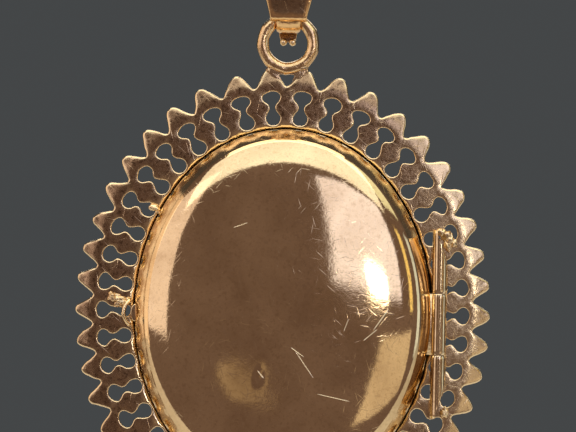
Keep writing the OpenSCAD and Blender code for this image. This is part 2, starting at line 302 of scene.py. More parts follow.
# x, y and z of a point on the oval, from an even turn in radians and an offset outwards
def ovalNodes(op, share, offset):
    t = op("SUBTRACT", share, op("MULTIPLY", skew, op("SINE", op("MULTIPLY", share, 2.0))))
    ct, st = op("COSINE", t), op("SINE", t)
    nx, nz = op("MULTIPLY", ct, caseB), op("MULTIPLY", st, caseA)
    size = op("SQRT", op("ADD", op("MULTIPLY", nx, nx), op("MULTIPLY", nz, nz)))
    x = op("ADD", op("MULTIPLY", ct, caseA), op("DIVIDE", op("MULTIPLY", nx, offset), size))
    z = op("ADD", op("MULTIPLY", st, caseB), op("DIVIDE", op("MULTIPLY", nz, offset), size))
    return x, op("ADD", z, ovalZ)


def toMetres(tree, x, y, z):
    joined = tree.nodes.new("ShaderNodeCombineXYZ")
    for i, part in enumerate((x, y, z)):
        tree.links.new(part, joined.inputs[i])
    scaled = tree.nodes.new("ShaderNodeVectorMath")
    scaled.operation = "SCALE"
    scaled.inputs["Scale"].default_value = mm
    tree.links.new(joined.outputs[0], scaled.inputs[0])
    return scaled.outputs[0]


# shader groups and material helpers

def shaderGroup(name, inputs, outputs):
    tree = bpy.data.node_groups.new(name, "ShaderNodeTree")
    for label, kind, value in inputs:
        tree.interface.new_socket(label, in_out="INPUT", socket_type="NodeSocket" + kind).default_value = value
    for label, kind in outputs:
        tree.interface.new_socket(label, in_out="OUTPUT", socket_type="NodeSocket" + kind)
    return tree, tree.nodes.new("NodeGroupInput"), tree.nodes.new("NodeGroupOutput")


def place(tree, kind, links=None, **values):
    node = tree.nodes.new(kind)
    for key, value in values.items():
        if key in node.inputs:
            node.inputs[key].default_value = value
        else:
            setattr(node, key, value)
    for key, source in (links or {}).items():
        tree.links.new(source, node.inputs[key])
    return node


def objectCoords(tree):
    return place(tree, "ShaderNodeTexCoord").outputs["Object"]


# 0 below low, 1 above high and an easy slope between them
def softRange(tree, value, low, high, **links):
    node = place(tree, "ShaderNodeMapRange", {"Value": value, **links}, interpolation_type="SMOOTHSTEP")
    node.inputs["From Min"].default_value, node.inputs["From Max"].default_value = low, high
    return node.outputs["Result"]


def newMaterial(name):
    material = bpy.data.materials.new(name)
    material.use_nodes = True
    tree = material.node_tree
    return material, tree, tree.nodes["Principled BSDF"], mathIn(tree)


# the gap colour and depth below paint shade into the groove beside the cover
wear = {"hairTurns": (0.3, 0.85, 1.4, 1.9, 2.45, 2.95), "cloudFrom": 0.36, "cloudTo": 0.66,
        "biteMiddle": 0.62, "bite": 0.9, "biteGain": 2.2, "breakUp": 900.0, "deepCut": 3.0,
        "speckFrom": 0.34, "speckTo": 0.5, "wornShine": 0.45, "gapRough": 0.3, "gapShadeColour": (0.03, 0.012, 0.006),
        "gapDepth": 0.96}
# where shade is painted into the gap beside the cover, and where the border's colour is painted lighter towards the
# hinge, in mm to the hinge
gap = {"climb": 0.6, "shadeFrom": -9, "shadeTo": 4, "lightenFrom": 8, "lightenTo": 19, "lighten": 0.6}


# hairlines: short straight scratches, each one cell of a stretched pattern, at several turns
def makeHairlines():
    tree, given, out = shaderGroup("hairlines", [
        ("Scale", "Float", 900.0), ("Length", "Float", 20.0), ("Width", "Float", 0.05)], [("Mask", "Float")])
    op = mathIn(tree)
    coords = objectCoords(tree)
    total = None
    for i, turn in enumerate(wear["hairTurns"]):
        turned = place(tree, "ShaderNodeMapping", {"Vector": coords}, Rotation=(0.0, turn, 0.0),
                       Location=(0.013 * i, 0.0, 0.021 * i))
        split = place(tree, "ShaderNodeSeparateXYZ", {"Vector": turned.outputs[0]})
        flat = place(tree, "ShaderNodeCombineXYZ", {"X": op("MULTIPLY", split.outputs[0], given.outputs["Scale"]),
                                                    "Y": op("MULTIPLY", split.outputs[2], given.outputs["Length"])})
        cells = place(tree, "ShaderNodeTexVoronoi", {"Vector": flat.outputs[0]}, Scale=1.0,
                      voronoi_dimensions="2D")
        line = op("SUBTRACT", 1.0, op("MINIMUM", 1.0, op("DIVIDE", cells.outputs["Distance"],
                                                         given.outputs["Width"])))
        total = line if total is None else op("MAXIMUM", total, line)
    tree.links.new(total, out.inputs["Mask"])
    return tree


# tarnish: soft clouds broken up by grain, for a colour or roughness mask
def makeTarnish():
    tree, given, out = shaderGroup("tarnish", [
        ("Cloud Scale", "Float", 300.0), ("Grain Scale", "Float", 2500.0), ("Grain", "Float", 0.5)],
        [("Mask", "Float"), ("Grain", "Float")])
    op = mathIn(tree)
    coords = objectCoords(tree)
    cloud = place(tree, "ShaderNodeTexNoise", {"Vector": coords, "Scale": given.outputs["Cloud Scale"]},
                  Detail=4.0, Roughness=0.6, Distortion=0.4)
    grain = place(tree, "ShaderNodeTexNoise", {"Vector": coords, "Scale": given.outputs["Grain Scale"]},
                  Detail=3.0, Roughness=0.7)
    mixed = op("ADD", op("MULTIPLY", cloud.outputs["Fac"], op("SUBTRACT", 1.0, given.outputs["Grain"])),
               op("MULTIPLY", grain.outputs["Fac"], given.outputs["Grain"]))
    tree.links.new(softRange(tree, mixed, wear["cloudFrom"], wear["cloudTo"]), out.inputs["Mask"])
    tree.links.new(grain.outputs["Fac"], out.inputs["Grain"])
    return tree


# edge wear: the edge attribute of the mesh, nibbled by noise; where the attribute is negative, in the groove beside
# the cover, it also gives a mask for painted shade
def makeEdgeWear():
    tree, given, out = shaderGroup("edgeWear", [("Amount", "Float", 1.0), ("Break Up", "Float", 900.0)],
                                   [("Mask", "Float"), ("Gap Shade", "Float")])
    op = mathIn(tree)
    edge = place(tree, "ShaderNodeAttribute", attribute_name="edge").outputs["Fac"]
    coords = objectCoords(tree)
    bite = place(tree, "ShaderNodeTexNoise", {"Vector": coords, "Scale": given.outputs["Break Up"]}, Detail=3.0)
    bitten = op("MULTIPLY", op("SUBTRACT", bite.outputs["Fac"], wear["biteMiddle"]), wear["bite"])
    k = op("MULTIPLY", op("ADD", edge, bitten), wear["biteGain"])
    clean = place(tree, "ShaderNodeClamp", {"Value": op("MULTIPLY", k, given.outputs["Amount"])})
    tree.links.new(clean.outputs[0], out.inputs["Mask"])
    # the negative part of the attribute: where shade is painted in the groove
    gapShade = place(tree, "ShaderNodeClamp", {"Value": op("MULTIPLY", edge, -1.0)})
    tree.links.new(gapShade.outputs[0], out.inputs["Gap Shade"])
    return tree


# one deep scratch: a thin bar at a place and a turn
def makeScratch():
    tree, given, out = shaderGroup("deepScratch", [
        ("Middle", "Vector", (0.0, 0.0, 0.0)), ("Turn", "Float", 0.0), ("Length", "Float", 0.003),
        ("Width", "Float", 0.0001)], [("Mask", "Float")])
    op = mathIn(tree)
    coords = objectCoords(tree)
    away = place(tree, "ShaderNodeVectorMath", operation="SUBTRACT")
    tree.links.new(coords, away.inputs[0])
    tree.links.new(given.outputs["Middle"], away.inputs[1])
    split = place(tree, "ShaderNodeSeparateXYZ", {"Vector": away.outputs[0]})
    x, z = split.outputs[0], split.outputs[2]
    c, d = op("COSINE", given.outputs["Turn"]), op("SINE", given.outputs["Turn"])
    along = op("ADD", op("MULTIPLY", x, c), op("MULTIPLY", z, d))
    across = op("SUBTRACT", op("MULTIPLY", z, c), op("MULTIPLY", x, d))
    a = op("DIVIDE", along, op("MULTIPLY", given.outputs["Length"], 0.5))
    b = op("DIVIDE", across, op("MULTIPLY", given.outputs["Width"], 0.5))
    far = op("ADD", op("POWER", op("ABSOLUTE", a), 4.0), op("POWER", op("ABSOLUTE", b), 2.0))
    mask = place(tree, "ShaderNodeClamp", {"Value": op("SUBTRACT", 1.0, far)})
    tree.links.new(mask.outputs[0], out.inputs["Mask"])
    return tree


hairlines, tarnish, edgeWear, deepScratch = makeHairlines(), makeTarnish(), makeEdgeWear(), makeScratch()


def useGroup(tree, group, **values):
    node = tree.nodes.new("ShaderNodeGroup")
    node.node_tree = group
    for key, value in values.items():
        node.inputs[key.replace("_", " ")].default_value = value
    return node


def mixColour(tree, factor, a, b, mode="MIX"):
    node = tree.nodes.new("ShaderNodeMix")
    node.data_type = "RGBA"
    node.blend_type = mode
    for key, value in ((0, factor), (6, a), (7, b)):
        if isinstance(value, bpy.types.NodeSocket):
            tree.links.new(value, node.inputs[key])
        elif key == 0:
            node.inputs[0].default_value = value
        else:
            node.inputs[key].default_value = (*value, 1.0)
    return node.outputs[2]


# a gold with its tarnish, hairlines and worn edges
def goldMaterial(name, look, marks=()):
    material, tree, shader, op = newMaterial(name)
    shader.inputs["Metallic"].default_value = 1.0
    dull = useGroup(tree, tarnish, Cloud_Scale=look["cloudScale"], Grain_Scale=look["grainScale"],
                    Grain=look["grain"])
    worn = useGroup(tree, edgeWear, Amount=look["edge"], Break_Up=wear["breakUp"])
    fine = useGroup(tree, hairlines, Scale=look["scratchScale"], Length=look["scratchLength"],
                    Width=look["scratchWidth"])
    marked = op("MULTIPLY", fine.outputs["Mask"], look["scratchDepth"])
    for x, z, turn, length, width in marks:
        deep = useGroup(tree, deepScratch, Middle=(x * mm, 0.0, (z + ovalZ) * mm), Turn=math.radians(turn),
                        Length=length * mm, Width=width * mm)
        marked = op("MAXIMUM", marked, op("MULTIPLY", deep.outputs["Mask"], wear["deepCut"]))
    dirty = op("MULTIPLY", dull.outputs["Mask"], look["tarnish"])
    kept = op("MULTIPLY", dirty, op("SUBTRACT", 1.0, worn.outputs["Mask"]))
    colour = mixColour(tree, kept, look["clean"], look["dark"])
    specks = place(tree, "ShaderNodeMapRange", {"Value": dull.outputs["Grain"]})
    for key, value in (("From Min", wear["speckFrom"]), ("From Max", wear["speckTo"]), ("To Min", look["speck"]),
                       ("To Max", 0.0)):
        specks.inputs[key].default_value = value
    colour = mixColour(tree, specks.outputs["Result"], colour, look["dirt"])
    colour = mixColour(tree, worn.outputs["Mask"], colour, look["bright"])
    gapShade = worn.outputs["Gap Shade"]
    if look.get("gapShadeSide"):   # painted shade in the gap beside the cover, strongest at the top and the hinge
        split = place(tree, "ShaderNodeSeparateXYZ", {"Vector": objectCoords(tree)})
        x, y, z = split.outputs
        climb = op("ADD", x, op("MULTIPLY", op("SUBTRACT", z, ovalZ * mm), gap["climb"]))
        gapShade = op("MULTIPLY", gapShade, softRange(tree, climb, gap["shadeFrom"] * mm, gap["shadeTo"] * mm))
        # painted light: the border's colour is lighter towards the hinge side
        hingeSideLight = softRange(tree, x, gap["lightenFrom"] * mm, gap["lightenTo"] * mm)
        colour = mixColour(tree, op("MULTIPLY", hingeSideLight, gap["lighten"]), colour, look["bright"])
    # painted shade: the groove beside the cover is darkened towards the gap colour
    colour = mixColour(tree, op("MULTIPLY", gapShade, wear["gapDepth"]), colour, wear["gapShadeColour"])
    if marks:
        colour = mixColour(tree, op("MINIMUM", marked, 1.0), colour, look["scratch"])
    tree.links.new(colour, shader.inputs["Base Color"])
    rough = op("ADD", look["rough"], op("MULTIPLY", kept, look["roughDirt"]))
    rough = op("ADD", rough, op("MULTIPLY", marked, look["roughScratch"]))
    rough = op("ADD", rough, op("MULTIPLY", gapShade, wear["gapRough"]))
    rough = op("SUBTRACT", rough, op("MULTIPLY", worn.outputs["Mask"], look["rough"] * wear["wornShine"]))
    tree.links.new(rough, shader.inputs["Roughness"])
    height = op("SUBTRACT", op("MULTIPLY", dull.outputs["Grain"], look["bumpGrain"]),
                op("MULTIPLY", marked, look["bumpScratch"]))
    bump = place(tree, "ShaderNodeBump", {"Height": height}, Strength=1.0, Distance=mm)
    tree.links.new(bump.outputs[0], shader.inputs["Normal"])
    return material


coverLook = {"clean": (0.97, 0.73, 0.41), "dark": (0.55, 0.37, 0.19), "bright": (0.97, 0.78, 0.48),
             "dirt": (0.34, 0.21, 0.12), "speck": 0.3, "scratch": (1.0, 0.86, 0.62),
             "cloudScale": 170.0, "grainScale": 2600.0, "grain": 0.5, "tarnish": 0.75, "edge": 0.5,
             "rough": 0.05, "roughDirt": 0.05, "roughScratch": 0.25, "scratchScale": 2000.0, "scratchLength": 75.0,
             "scratchWidth": 0.05, "scratchDepth": 0.3, "bumpGrain": 0.0035, "bumpScratch": 0.006}
borderLook = {"clean": (0.56, 0.38, 0.22), "dark": (0.27, 0.165, 0.09), "bright": (0.97, 0.75, 0.43),
              "dirt": (0.08, 0.045, 0.025), "speck": 0.75, "gapShadeSide": True,
              "cloudScale": 480.0, "grainScale": 2900.0, "grain": 0.5, "tarnish": 0.95, "edge": 0.9,
              "rough": 0.15, "roughDirt": 0.15, "roughScratch": 0.05, "scratchScale": 1300.0, "scratchLength": 60.0,
              "scratchWidth": 0.05, "scratchDepth": 1.0, "bumpGrain": 0.013, "bumpScratch": 0.01}
trimLook = dict(borderLook, clean=(0.62, 0.43, 0.25), dark=(0.32, 0.20, 0.11), rough=0.18, tarnish=0.8,
                speck=0.5, bumpGrain=0.03, cloudScale=520.0, gapShadeSide=False)
# painted shade: the strap's gold is darker because its front faces a little downwards, into shade
strapShadedLook = dict(trimLook, clean=(0.46, 0.31, 0.18), dark=(0.25, 0.16, 0.09), bright=(0.92, 0.60, 0.28), edge=0.7)
ringLook = dict(trimLook, clean=(0.90, 0.61, 0.31), dark=(0.46, 0.30, 0.16), rough=0.13, tarnish=0.6, speck=0.35)
# painted shade: the drop's gold is darker because the drop hangs in shade
dropShadedLook = dict(trimLook, clean=(0.40, 0.25, 0.14), dark=(0.16, 0.09, 0.05), tarnish=1.0, edge=0.3)
hingeLook = dict(coverLook, clean=(0.88, 0.65, 0.36), dark=(0.48, 0.31, 0.16), rough=0.14, cloudScale=420.0,
                 edge=0.8, speck=0.35)
solderLook = dict(trimLook, clean=(0.95, 0.74, 0.44), dark=(0.60, 0.38, 0.20), rough=0.16, tarnish=0.6,
                  speck=0.3, bumpGrain=0.06)
caseLook = dict(coverLook, clean=(0.84, 0.58, 0.28), dark=(0.46, 0.29, 0.13), rough=0.22, cloudScale=300.0,
                bumpGrain=0.03, speck=0.3)
# place from the oval's centre, turn, length and width of the deeper scratches, in mm and degrees
coverMarks = ((-2.05, -5.95, -50, 1.0, 0.12), (2.2, -4.9, -55, 3.2, 0.09), (1.5, -3.7, -35, 1.6, 0.07),
              (5.1, -8.1, -12, 3.4, 0.06), (9.6, -0.4, 55, 2.6, 0.07), (8.6, -1.9, 40, 1.8, 0.06),
              (-4.3, 8.6, 20, 1.5, 0.06), (6.2, -1.0, 70, 1.3, 0.06))

coverGold = goldMaterial("coverGold", coverLook, coverMarks)
borderGold = goldMaterial("borderGold", borderLook)
trimGold = goldMaterial("trimGold", trimLook)
ringGold = goldMaterial("ringGold", ringLook)
strapShadedGold = goldMaterial("strapShadedGold", strapShadedLook)
dropShadedGold = goldMaterial("dropShadedGold", dropShadedLook)
hingeGold = goldMaterial("hingeGold", hingeLook)
solderGold = goldMaterial("solderGold", solderLook)
caseGold = goldMaterial("caseGold", caseLook)


glassLook = {"tint": (0.97, 0.99, 0.98), "index": 1.5, "rough": 0.02, "smear": 0.05, "clear": 0.9}


def clearGlass(look):
    material, tree, shader, op = newMaterial("clearGlass")
    shader.inputs["Base Color"].default_value = (*look["tint"], 1.0)
    shader.inputs["Transmission Weight"].default_value = 1.0
    shader.inputs["IOR"].default_value = look["index"]
    smear = useGroup(tree, tarnish, Cloud_Scale=160.0, Grain_Scale=1500.0, Grain=0.3)
    rough = op("ADD", look["rough"], op("MULTIPLY", smear.outputs["Mask"], look["smear"]))
    tree.links.new(rough, shader.inputs["Roughness"])
    path = place(tree, "ShaderNodeLightPath")   # lets the light through to the card
    solid = op("SUBTRACT", 1.0, op("MULTIPLY", path.outputs["Is Shadow Ray"], look["clear"]))
    tree.links.new(solid, shader.inputs["Alpha"])
    return material


paperLook = {"clean": (0.80, 0.72, 0.56), "spot": (0.62, 0.49, 0.32), "spots": 0.6, "rough": 0.62, "relief": 0.04,
             "threads": None}
silkLook = dict(paperLook, clean=(0.30, 0.05, 0.07), spot=(0.20, 0.03, 0.05), threads=1400.0)


# paper or silk: a base colour, foxing or thread, and a fine relief
def softMaterial(name, look):
    material, tree, shader, op = newMaterial(name)
    spots = useGroup(tree, tarnish, Cloud_Scale=240.0, Grain_Scale=5200.0, Grain=0.35)
    coords = objectCoords(tree)
    colour = mixColour(tree, op("MULTIPLY", spots.outputs["Mask"], look["spots"]), look["clean"], look["spot"])
    tree.links.new(colour, shader.inputs["Base Color"])
    tree.links.new(op("ADD", look["rough"], op("MULTIPLY", spots.outputs["Grain"], 0.3)), shader.inputs["Roughness"])
    height = spots.outputs["Grain"]
    if look["threads"]:
        across, along = (place(tree, "ShaderNodeTexWave", {"Vector": coords}, Scale=look["threads"],
                               bands_direction=way).outputs["Fac"] for way in "XZ")
        height = op("MAXIMUM", across, along)
    bump = place(tree, "ShaderNodeBump", {"Height": height}, Strength=0.4, Distance=look["relief"] * mm)
    tree.links.new(bump.outputs[0], shader.inputs["Normal"])
    return material


glass = clearGlass(glassLook)
paper = softMaterial("agedPaper", paperLook)
silk = softMaterial("silkBacking", silkLook)


def finish(obj, material, slot, body, *nodes):
    obj.data.materials.clear()
    obj.data.materials.append(material)
    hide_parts(*nodes)
    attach(obj, body)
    return obj


print("materials ready")

# border: one pierced cell, set round the oval

# the hole's half width at each height above the oval, from its foot to its crown
border = {"teeth": 42, "reach": 6.0, "toothDepth": 1.72, "toothRound": 1.2, "toothSteps": 36, "rim": -0.83,
          "hole": ((0.46, 0.0), (0.55, 0.36), (0.76, 0.60), (1.12, 0.72), (1.48, 0.64), (1.82, 0.41), (2.1, 0.28),
                   (2.36, 0.27), (2.6, 0.40), (2.84, 0.66), (3.08, 0.83), (3.34, 0.87), (3.6, 0.74), (3.8, 0.42),
                   (3.88, 0.0)),
          "holeSteps": 56, "grooveFrom": -0.3, "grooveTo": 0.2, "grooveDeep": 0.34, "grooveLip": 0.05,
          "roundHole": 0.10, "roundTooth": 0.2, "roundFront": 0.1,
          "dropFrom": 4.1, "dropBack": 0.30, "dropFront": 0.1, "dropCurve": 1.2,
          "lighten": 0.75, "lightenFrom": 0.35, "lightenTo": 1.2,   # rubbed brighter beside the cover
          "fillRows": (1.3, 2.0, 2.6, 3.3, 4.15, 4.5, 4.85, 5.2, 5.5), "fillStep": 0.3, "fillClear": 0.16,
          "uneven": 0.12, "lean": 0.045, "wobble": 0.24, "seed": 11}


# one tooth's share of the way round, at an offset v from the oval
def pitchAt(v):
    h = ((caseA - caseB) / (caseA + caseB)) ** 2
    girth = math.pi * (caseA + caseB) * (1 + 3 * h / (10 + math.sqrt(4 - 3 * h)))
    return (girth + 2 * math.pi * v) / border["teeth"]


# a smooth curve through the hole's key widths, up one side and down the other, then stepped evenly
def holeOutline(keyWidths, count):
    keys = [(w, v) for v, w in keyWidths]
    keys += [(-w, v) for w, v in keys[-2:0:-1]]
    curve = []
    for i in range(len(keys)):
        p = [keys[(i + k - 1) % len(keys)] for k in range(4)]
        for step in range(6):
            t = step / 6
            blend = (-t + 2 * t ** 2 - t ** 3, 2 - 5 * t ** 2 + 3 * t ** 3, t + 4 * t ** 2 - 3 * t ** 3,
                     t ** 3 - t ** 2)
            curve.append(tuple(sum(q[c] * f for q, f in zip(p, blend)) / 2 for c in (0, 1)))
    walk = [0.0]
    for i, p in enumerate(curve):
        q = curve[(i + 1) % len(curve)]
        walk.append(walk[-1] + math.hypot(q[0] - p[0], q[1] - p[1]))
    hole, j = [], 0
    for i in range(count):
        at = walk[-1] * i / count
        while walk[j + 1] < at:
            j += 1
        k = (at - walk[j]) / (walk[j + 1] - walk[j])
        p, q = curve[j % len(curve)], curve[(j + 1) % len(curve)]
        hole.append((p[0] + (q[0] - p[0]) * k, p[1] + (q[1] - p[1]) * k))
    return hole


# an outline drawn in by d; the two ends of an open one stay on the cell's sides
def insetLoop(loop, d, closed):
    way = 1 if closed else -1
    points = []
    for i, (x, v) in enumerate(loop):
        if not closed and i in (0, len(loop) - 1):
            points.append((x, v - d))
            continue
        a, b = loop[i - 1], loop[(i + 1) % len(loop)]
        tx, tv = b[0] - a[0], b[1] - a[1]
        size = math.hypot(tx, tv)
        points.append((x + way * tv / size * d, v - way * tx / size * d))
    return points


def inside(p, loop):
    hit = False
    for i, (ax, az) in enumerate(loop):
        bx, bz = loop[i - 1]
        if (az > p[1]) != (bz > p[1]) and p[0] < (bx - ax) * (p[1] - az) / (bz - az) + ax:
            hit = not hit
    return hit


# x runs from -0.5 to 0.5 across the cell, y through the plate and z outwards from the oval
def makeBorderCell():
    s = border
    steps, count = s["toothSteps"], s["holeSteps"]
    hole = holeOutline(s["hole"], count)
    outer = []
    for i in range(steps + 1):
        u = 0.5 - i / steps
        v = s["reach"] - s["toothDepth"] * (1 - math.cos(math.pi * abs(2 * u) ** s["toothRound"])) / 2
        outer.append((u * pitchAt(v), v))
    g0, g1 = s["grooveFrom"], s["grooveTo"]
    grooveRows = (g0, g0 + s["grooveLip"], g1 - s["grooveLip"], g1)

    def level(v, way):
        drop = s["dropBack"] if way < 0 else s["dropFront"]
        deep = s["grooveDeep"] if way < 0 and g0 + 0.04 < v < g1 - 0.04 else 0.0
        return way * (borderHalf - deep - drop * smooth(s["dropFrom"], s["reach"], v) ** s["dropCurve"])

    def unit(x, v, i):
        return {0: 0.5, steps: -0.5}.get(i, x / pitchAt(v))

    verts, faces, edge = [], [], []
    sides = []
    for way, toothEdge, holeEdge in ((-1, s["roundTooth"], s["roundHole"]), (1, s["roundFront"], s["roundFront"])):
        outIn, holeIn = insetLoop(outer, toothEdge, False), insetLoop(hole, holeEdge, True)
        top = outIn[0][1]
        rise = list(grooveRows) + [g1 + (top - g1) * i / 9 for i in range(1, 9)]
        rim = [(-0.5 + i / 6, s["rim"]) for i in range(7)]
        ring = [(u * pitchAt(v), v) for u, v in rim] + [(pitchAt(v) / 2, v) for v in rise] + outIn
        ring += [(-pitchAt(v) / 2, v) for v in rise[::-1]]
        fixed = ring + holeIn
        spare = [((i / 6 - 0.5) * pitchAt(v), v) for v in grooveRows for i in range(1, 6)]
        for i in range(-4, 5):
            for v in s["fillRows"]:
                p = (i * s["fillStep"], v)
                if inside(p, ring) and not inside(p, holeIn) and \
                        min(math.hypot(p[0] - q[0], p[1] - q[1]) for q in fixed) > s["fillClear"]:
                    spare.append(p)
        edges = [(i, (i + 1) % len(ring)) for i in range(len(ring))]
        edges += [(len(ring) + i, len(ring) + (i + 1) % count) for i in range(count)]
        for row in range(len(grooveRows)):   # each row of the groove runs from side to side
            ends = (len(fixed) - count - 1 - row, len(rim) + row)
            line = [ends[0]] + [len(fixed) + row * 5 + i for i in range(5)] + [ends[1]]
            edges += list(zip(line, line[1:]))
        points = [Vector(p) for p in fixed + spare]
        coords, _, tris, source, _, _ = delaunay_2d_cdt(points, edges, [], 0, 1e-7)
        base = len(verts)
        where = {}
        for i, p in enumerate(coords):
            for original in source[i]:
                where[original] = base + i
            u = p[0] / pitchAt(p[1])
            if abs(abs(u) - 0.5) < 1e-4:
                u = math.copysign(0.5, u)
            verts.append((u, level(p[1], way), p[1]))
            # the groove is marked -1, which the gold material turns into painted shade
            inGroove = way < 0 and g0 - 0.01 < p[1] < g1 - 0.04
            onLip = way < 0 and abs(p[1] - g1) < 0.01
            near = s["lighten"] * (1 - smooth(s["lightenFrom"], s["lightenTo"], p[1]))
            edge.append(-1.0 if inGroove else 1.0 if onLip else near)
        for tri in tris:
            mid = (sum(coords[i][0] for i in tri) / 3, sum(coords[i][1] for i in tri) / 3)
            if inside(mid, ring) and not inside(mid, holeIn):
                face = tuple(base + i for i in tri)
                faces.append(face if way > 0 else face[::-1])
        # rounded edges, from the flat to the wall
        first = len(rim) + len(rise)
        chains = {"outer": [where[first + i] for i in range(steps + 1)],
                  "hole": [where[len(ring) + i] for i in range(count)]}
        for i in chains["outer"] + chains["hole"]:
            edge[i] = 0.25
        for k in range(1, 5):
            a = math.pi / 2 * k / 4
            for key, loop, radius in (("outer", outer, toothEdge), ("hole", hole, holeEdge)):
                d, drop = radius * (1 - math.sin(a)), radius * (1 - math.cos(a))
                chain = []
                for i, (x, v) in enumerate(insetLoop(loop, d, key == "hole")):
                    chain.append(len(verts))
                    u = unit(x, v, i) if key == "outer" else x / pitchAt(v)
                    verts.append((u, level(v, way) - way * drop, v))
                    edge.append({"hole": (1.0, 1.0, 1.0, 0.7), "outer": (0.4, 0.75, 1.0, 0.8)}[key][k - 1])
                old = chains[key]
                size = len(chain)
                for i in range(size if key == "hole" else size - 1):
                    j = (i + 1) % size
                    quad = (old[i], old[j], chain[j], chain[i])
                    faces.append(quad if (way > 0) == (key == "hole") else quad[::-1])
                chains[key] = chain
        chains["rim"] = [where[i] for i in range(len(rim))]
        sides.append(chains)
    back, front = sides
    for key in ("outer", "hole", "rim"):
        size = len(back[key])
        for i in range(size if key == "hole" else size - 1):
            j = (i + 1) % size
            quad = (back[key][i], back[key][j], front[key][j], front[key][i])
            faces.append(quad if key != "hole" else quad[::-1])
    mesh = bpy.data.meshes.new("borderCell")
    mesh.from_pydata(verts, [], faces)
    mesh.attributes.new("edge", "FLOAT", "POINT").data.foreach_set("value", edge)
    return addToScene("borderCell", mesh)


def makeBorderTree():
    tree, given, out = newTree("piercedBorder", [
        ("Cell", "Object", None), ("Teeth", "Int", 42), ("Uneven", "Float", 0.1), ("Lean", "Float", 0.05),
        ("Wobble", "Float", 0.1), ("Loose From", "Float", 4.4), ("Reach", "Float", 6.0), ("Seed", "Int", 1),
        ("Material", "Material", None)])
    op = mathIn(tree)
    line = place(tree, "GeometryNodeMeshLine", {"Count": given.outputs["Teeth"]}, mode="OFFSET")
    line.inputs["Start Location"].default_value = (0.5, 0.0, 0.0)
    line.inputs["Offset"].default_value = (1.0, 0.0, 0.0)
    cell = place(tree, "GeometryNodeObjectInfo", {"Object": given.outputs["Cell"]})
    set1 = place(tree, "GeometryNodeInstanceOnPoints", {"Points": line.outputs["Mesh"],
                                                        "Instance": cell.outputs["Geometry"]})
    real = place(tree, "GeometryNodeRealizeInstances", {"Geometry": set1.outputs["Instances"]})
    split = place(tree, "ShaderNodeSeparateXYZ", {"Vector": place(tree, "GeometryNodeInputPosition").outputs[0]})
    x, y, v = split.outputs
    number = op("FLOOR", x)
    fade = place(tree, "ShaderNodeMapRange", {"Value": v, "From Min": given.outputs["Loose From"],
                                              "From Max": given.outputs["Reach"]}, interpolation_type="SMOOTHSTEP")
    loose = []
    for i, amount in enumerate(("Uneven", "Lean")):
        chance = place(tree, "FunctionNodeRandomValue", {"ID": number}, data_type="FLOAT")
        chance.inputs[2].default_value, chance.inputs[3].default_value = -1.0, 1.0 if i else 0.15
        tree.links.new(op("ADD", given.outputs["Seed"], float(i)), chance.inputs["Seed"])
        loose.append(op("MULTIPLY", op("MULTIPLY", chance.outputs[1], given.outputs[amount]),
                        fade.outputs["Result"]))
    v, x = op("ADD", v, loose[0]), op("ADD", x, loose[1])
    share = op("ADD", math.pi / 2, op("DIVIDE", op("MULTIPLY", x, 2 * math.pi), given.outputs["Teeth"]))
    px, pz = ovalNodes(op, share, v)
    spot = place(tree, "ShaderNodeCombineXYZ", {"X": px, "Y": given.outputs["Seed"], "Z": pz})
    rough = place(tree, "ShaderNodeTexNoise", {"Vector": spot.outputs[0]}, Scale=0.8, Detail=1.0)
    hand = place(tree, "FunctionNodeSeparateColor", {"Color": rough.outputs["Color"]})
    sawn = softRange(tree, v, 0.3, 1.1, **{"To Max": given.outputs["Wobble"]})
    px, pz = (op("ADD", way, op("MULTIPLY", op("SUBTRACT", part, 0.5), sawn))
              for way, part in ((px, hand.outputs[0]), (pz, hand.outputs[1])))
    wrap = place(tree, "GeometryNodeSetPosition", {"Geometry": real.outputs[0],
                                                   "Position": toMetres(tree, px, y, pz)})
    weld = place(tree, "GeometryNodeMergeByDistance", {"Geometry": wrap.outputs[0]}, Distance=2e-7)
    soft = place(tree, "GeometryNodeSetShadeSmooth", {"Geometry": weld.outputs[0]})
    return endTree(tree, given, out, soft.outputs[0])


cell = makeBorderCell()
borderPiece = grown("borderPlate", makeBorderTree(), {
    "Cell": cell, "Teeth": border["teeth"], "Uneven": border["uneven"], "Lean": border["lean"],
    "Wobble": border["wobble"], "Reach": border["reach"], "Seed": border["seed"], "Material": borderGold})
bpy.data.objects.remove(cell)
finish(borderPiece, borderGold, "border_gold", "locket", "border_frame")
print("border", len(borderPiece.data.polygons), "faces")

# suspension ring

ring = {"sides": 9, "flat": 0.4, "section": 2.15, "wire": 1.25, "turn": 0.25, "dents": 0.06, "lower": 0.14,
        "fuller": 0.1, "around": 160, "across": 24}


def makeRing():
    s = ring
    low, high = nodeBox("suspension_ring")
    outR, z0 = (high[0] - low[0]) / 2 + s["fuller"], (high[2] + low[2]) / 2 - s["lower"]
    halfY = (high[1] - low[1]) / 2
    wedge = 2 * math.pi / s["sides"]
    verts = []
    for i in range(s["around"]):
        a = 2 * math.pi * i / s["around"]
        off = (a + s["turn"]) % wedge - wedge / 2
        facet = math.cos(wedge / 2) / math.cos(off)
        outer = outR * (1 - s["flat"] * (1 - facet))
        dent = noise.noise(Vector((math.cos(a) * 1.7, math.sin(a) * 1.7, 3)))
        inner = outR - s["wire"] * (1 + s["dents"] * dent)
        mid, half = (outer + inner) / 2, (outer - inner) / 2
        for k in range(s["across"]):
            b = 2 * math.pi * k / s["across"]
            c, d = math.cos(b), math.sin(b)
            r = (abs(c) ** s["section"] + abs(d) ** s["section"]) ** (-1 / s["section"])
            jog = 1 + s["dents"] * noise.noise(Vector((math.cos(a) * 2.4, math.sin(a) * 2.4, d * 1.2)))
            verts.append(((mid + half * r * c) * math.cos(a), halfY * r * d * min(1.0, jog),
                          z0 + (mid + half * r * c) * math.sin(a)))
    edge = [0.5 if 9 <= k <= 15 else 0.2 for _ in range(s["around"]) for k in range(s["across"])]
    return addMesh("suspensionRing", verts, gridFaces(s["around"], s["across"], closeRows=True), edge)


finish(makeRing(), ringGold, "trim_gold", "locket", "suspension_ring")

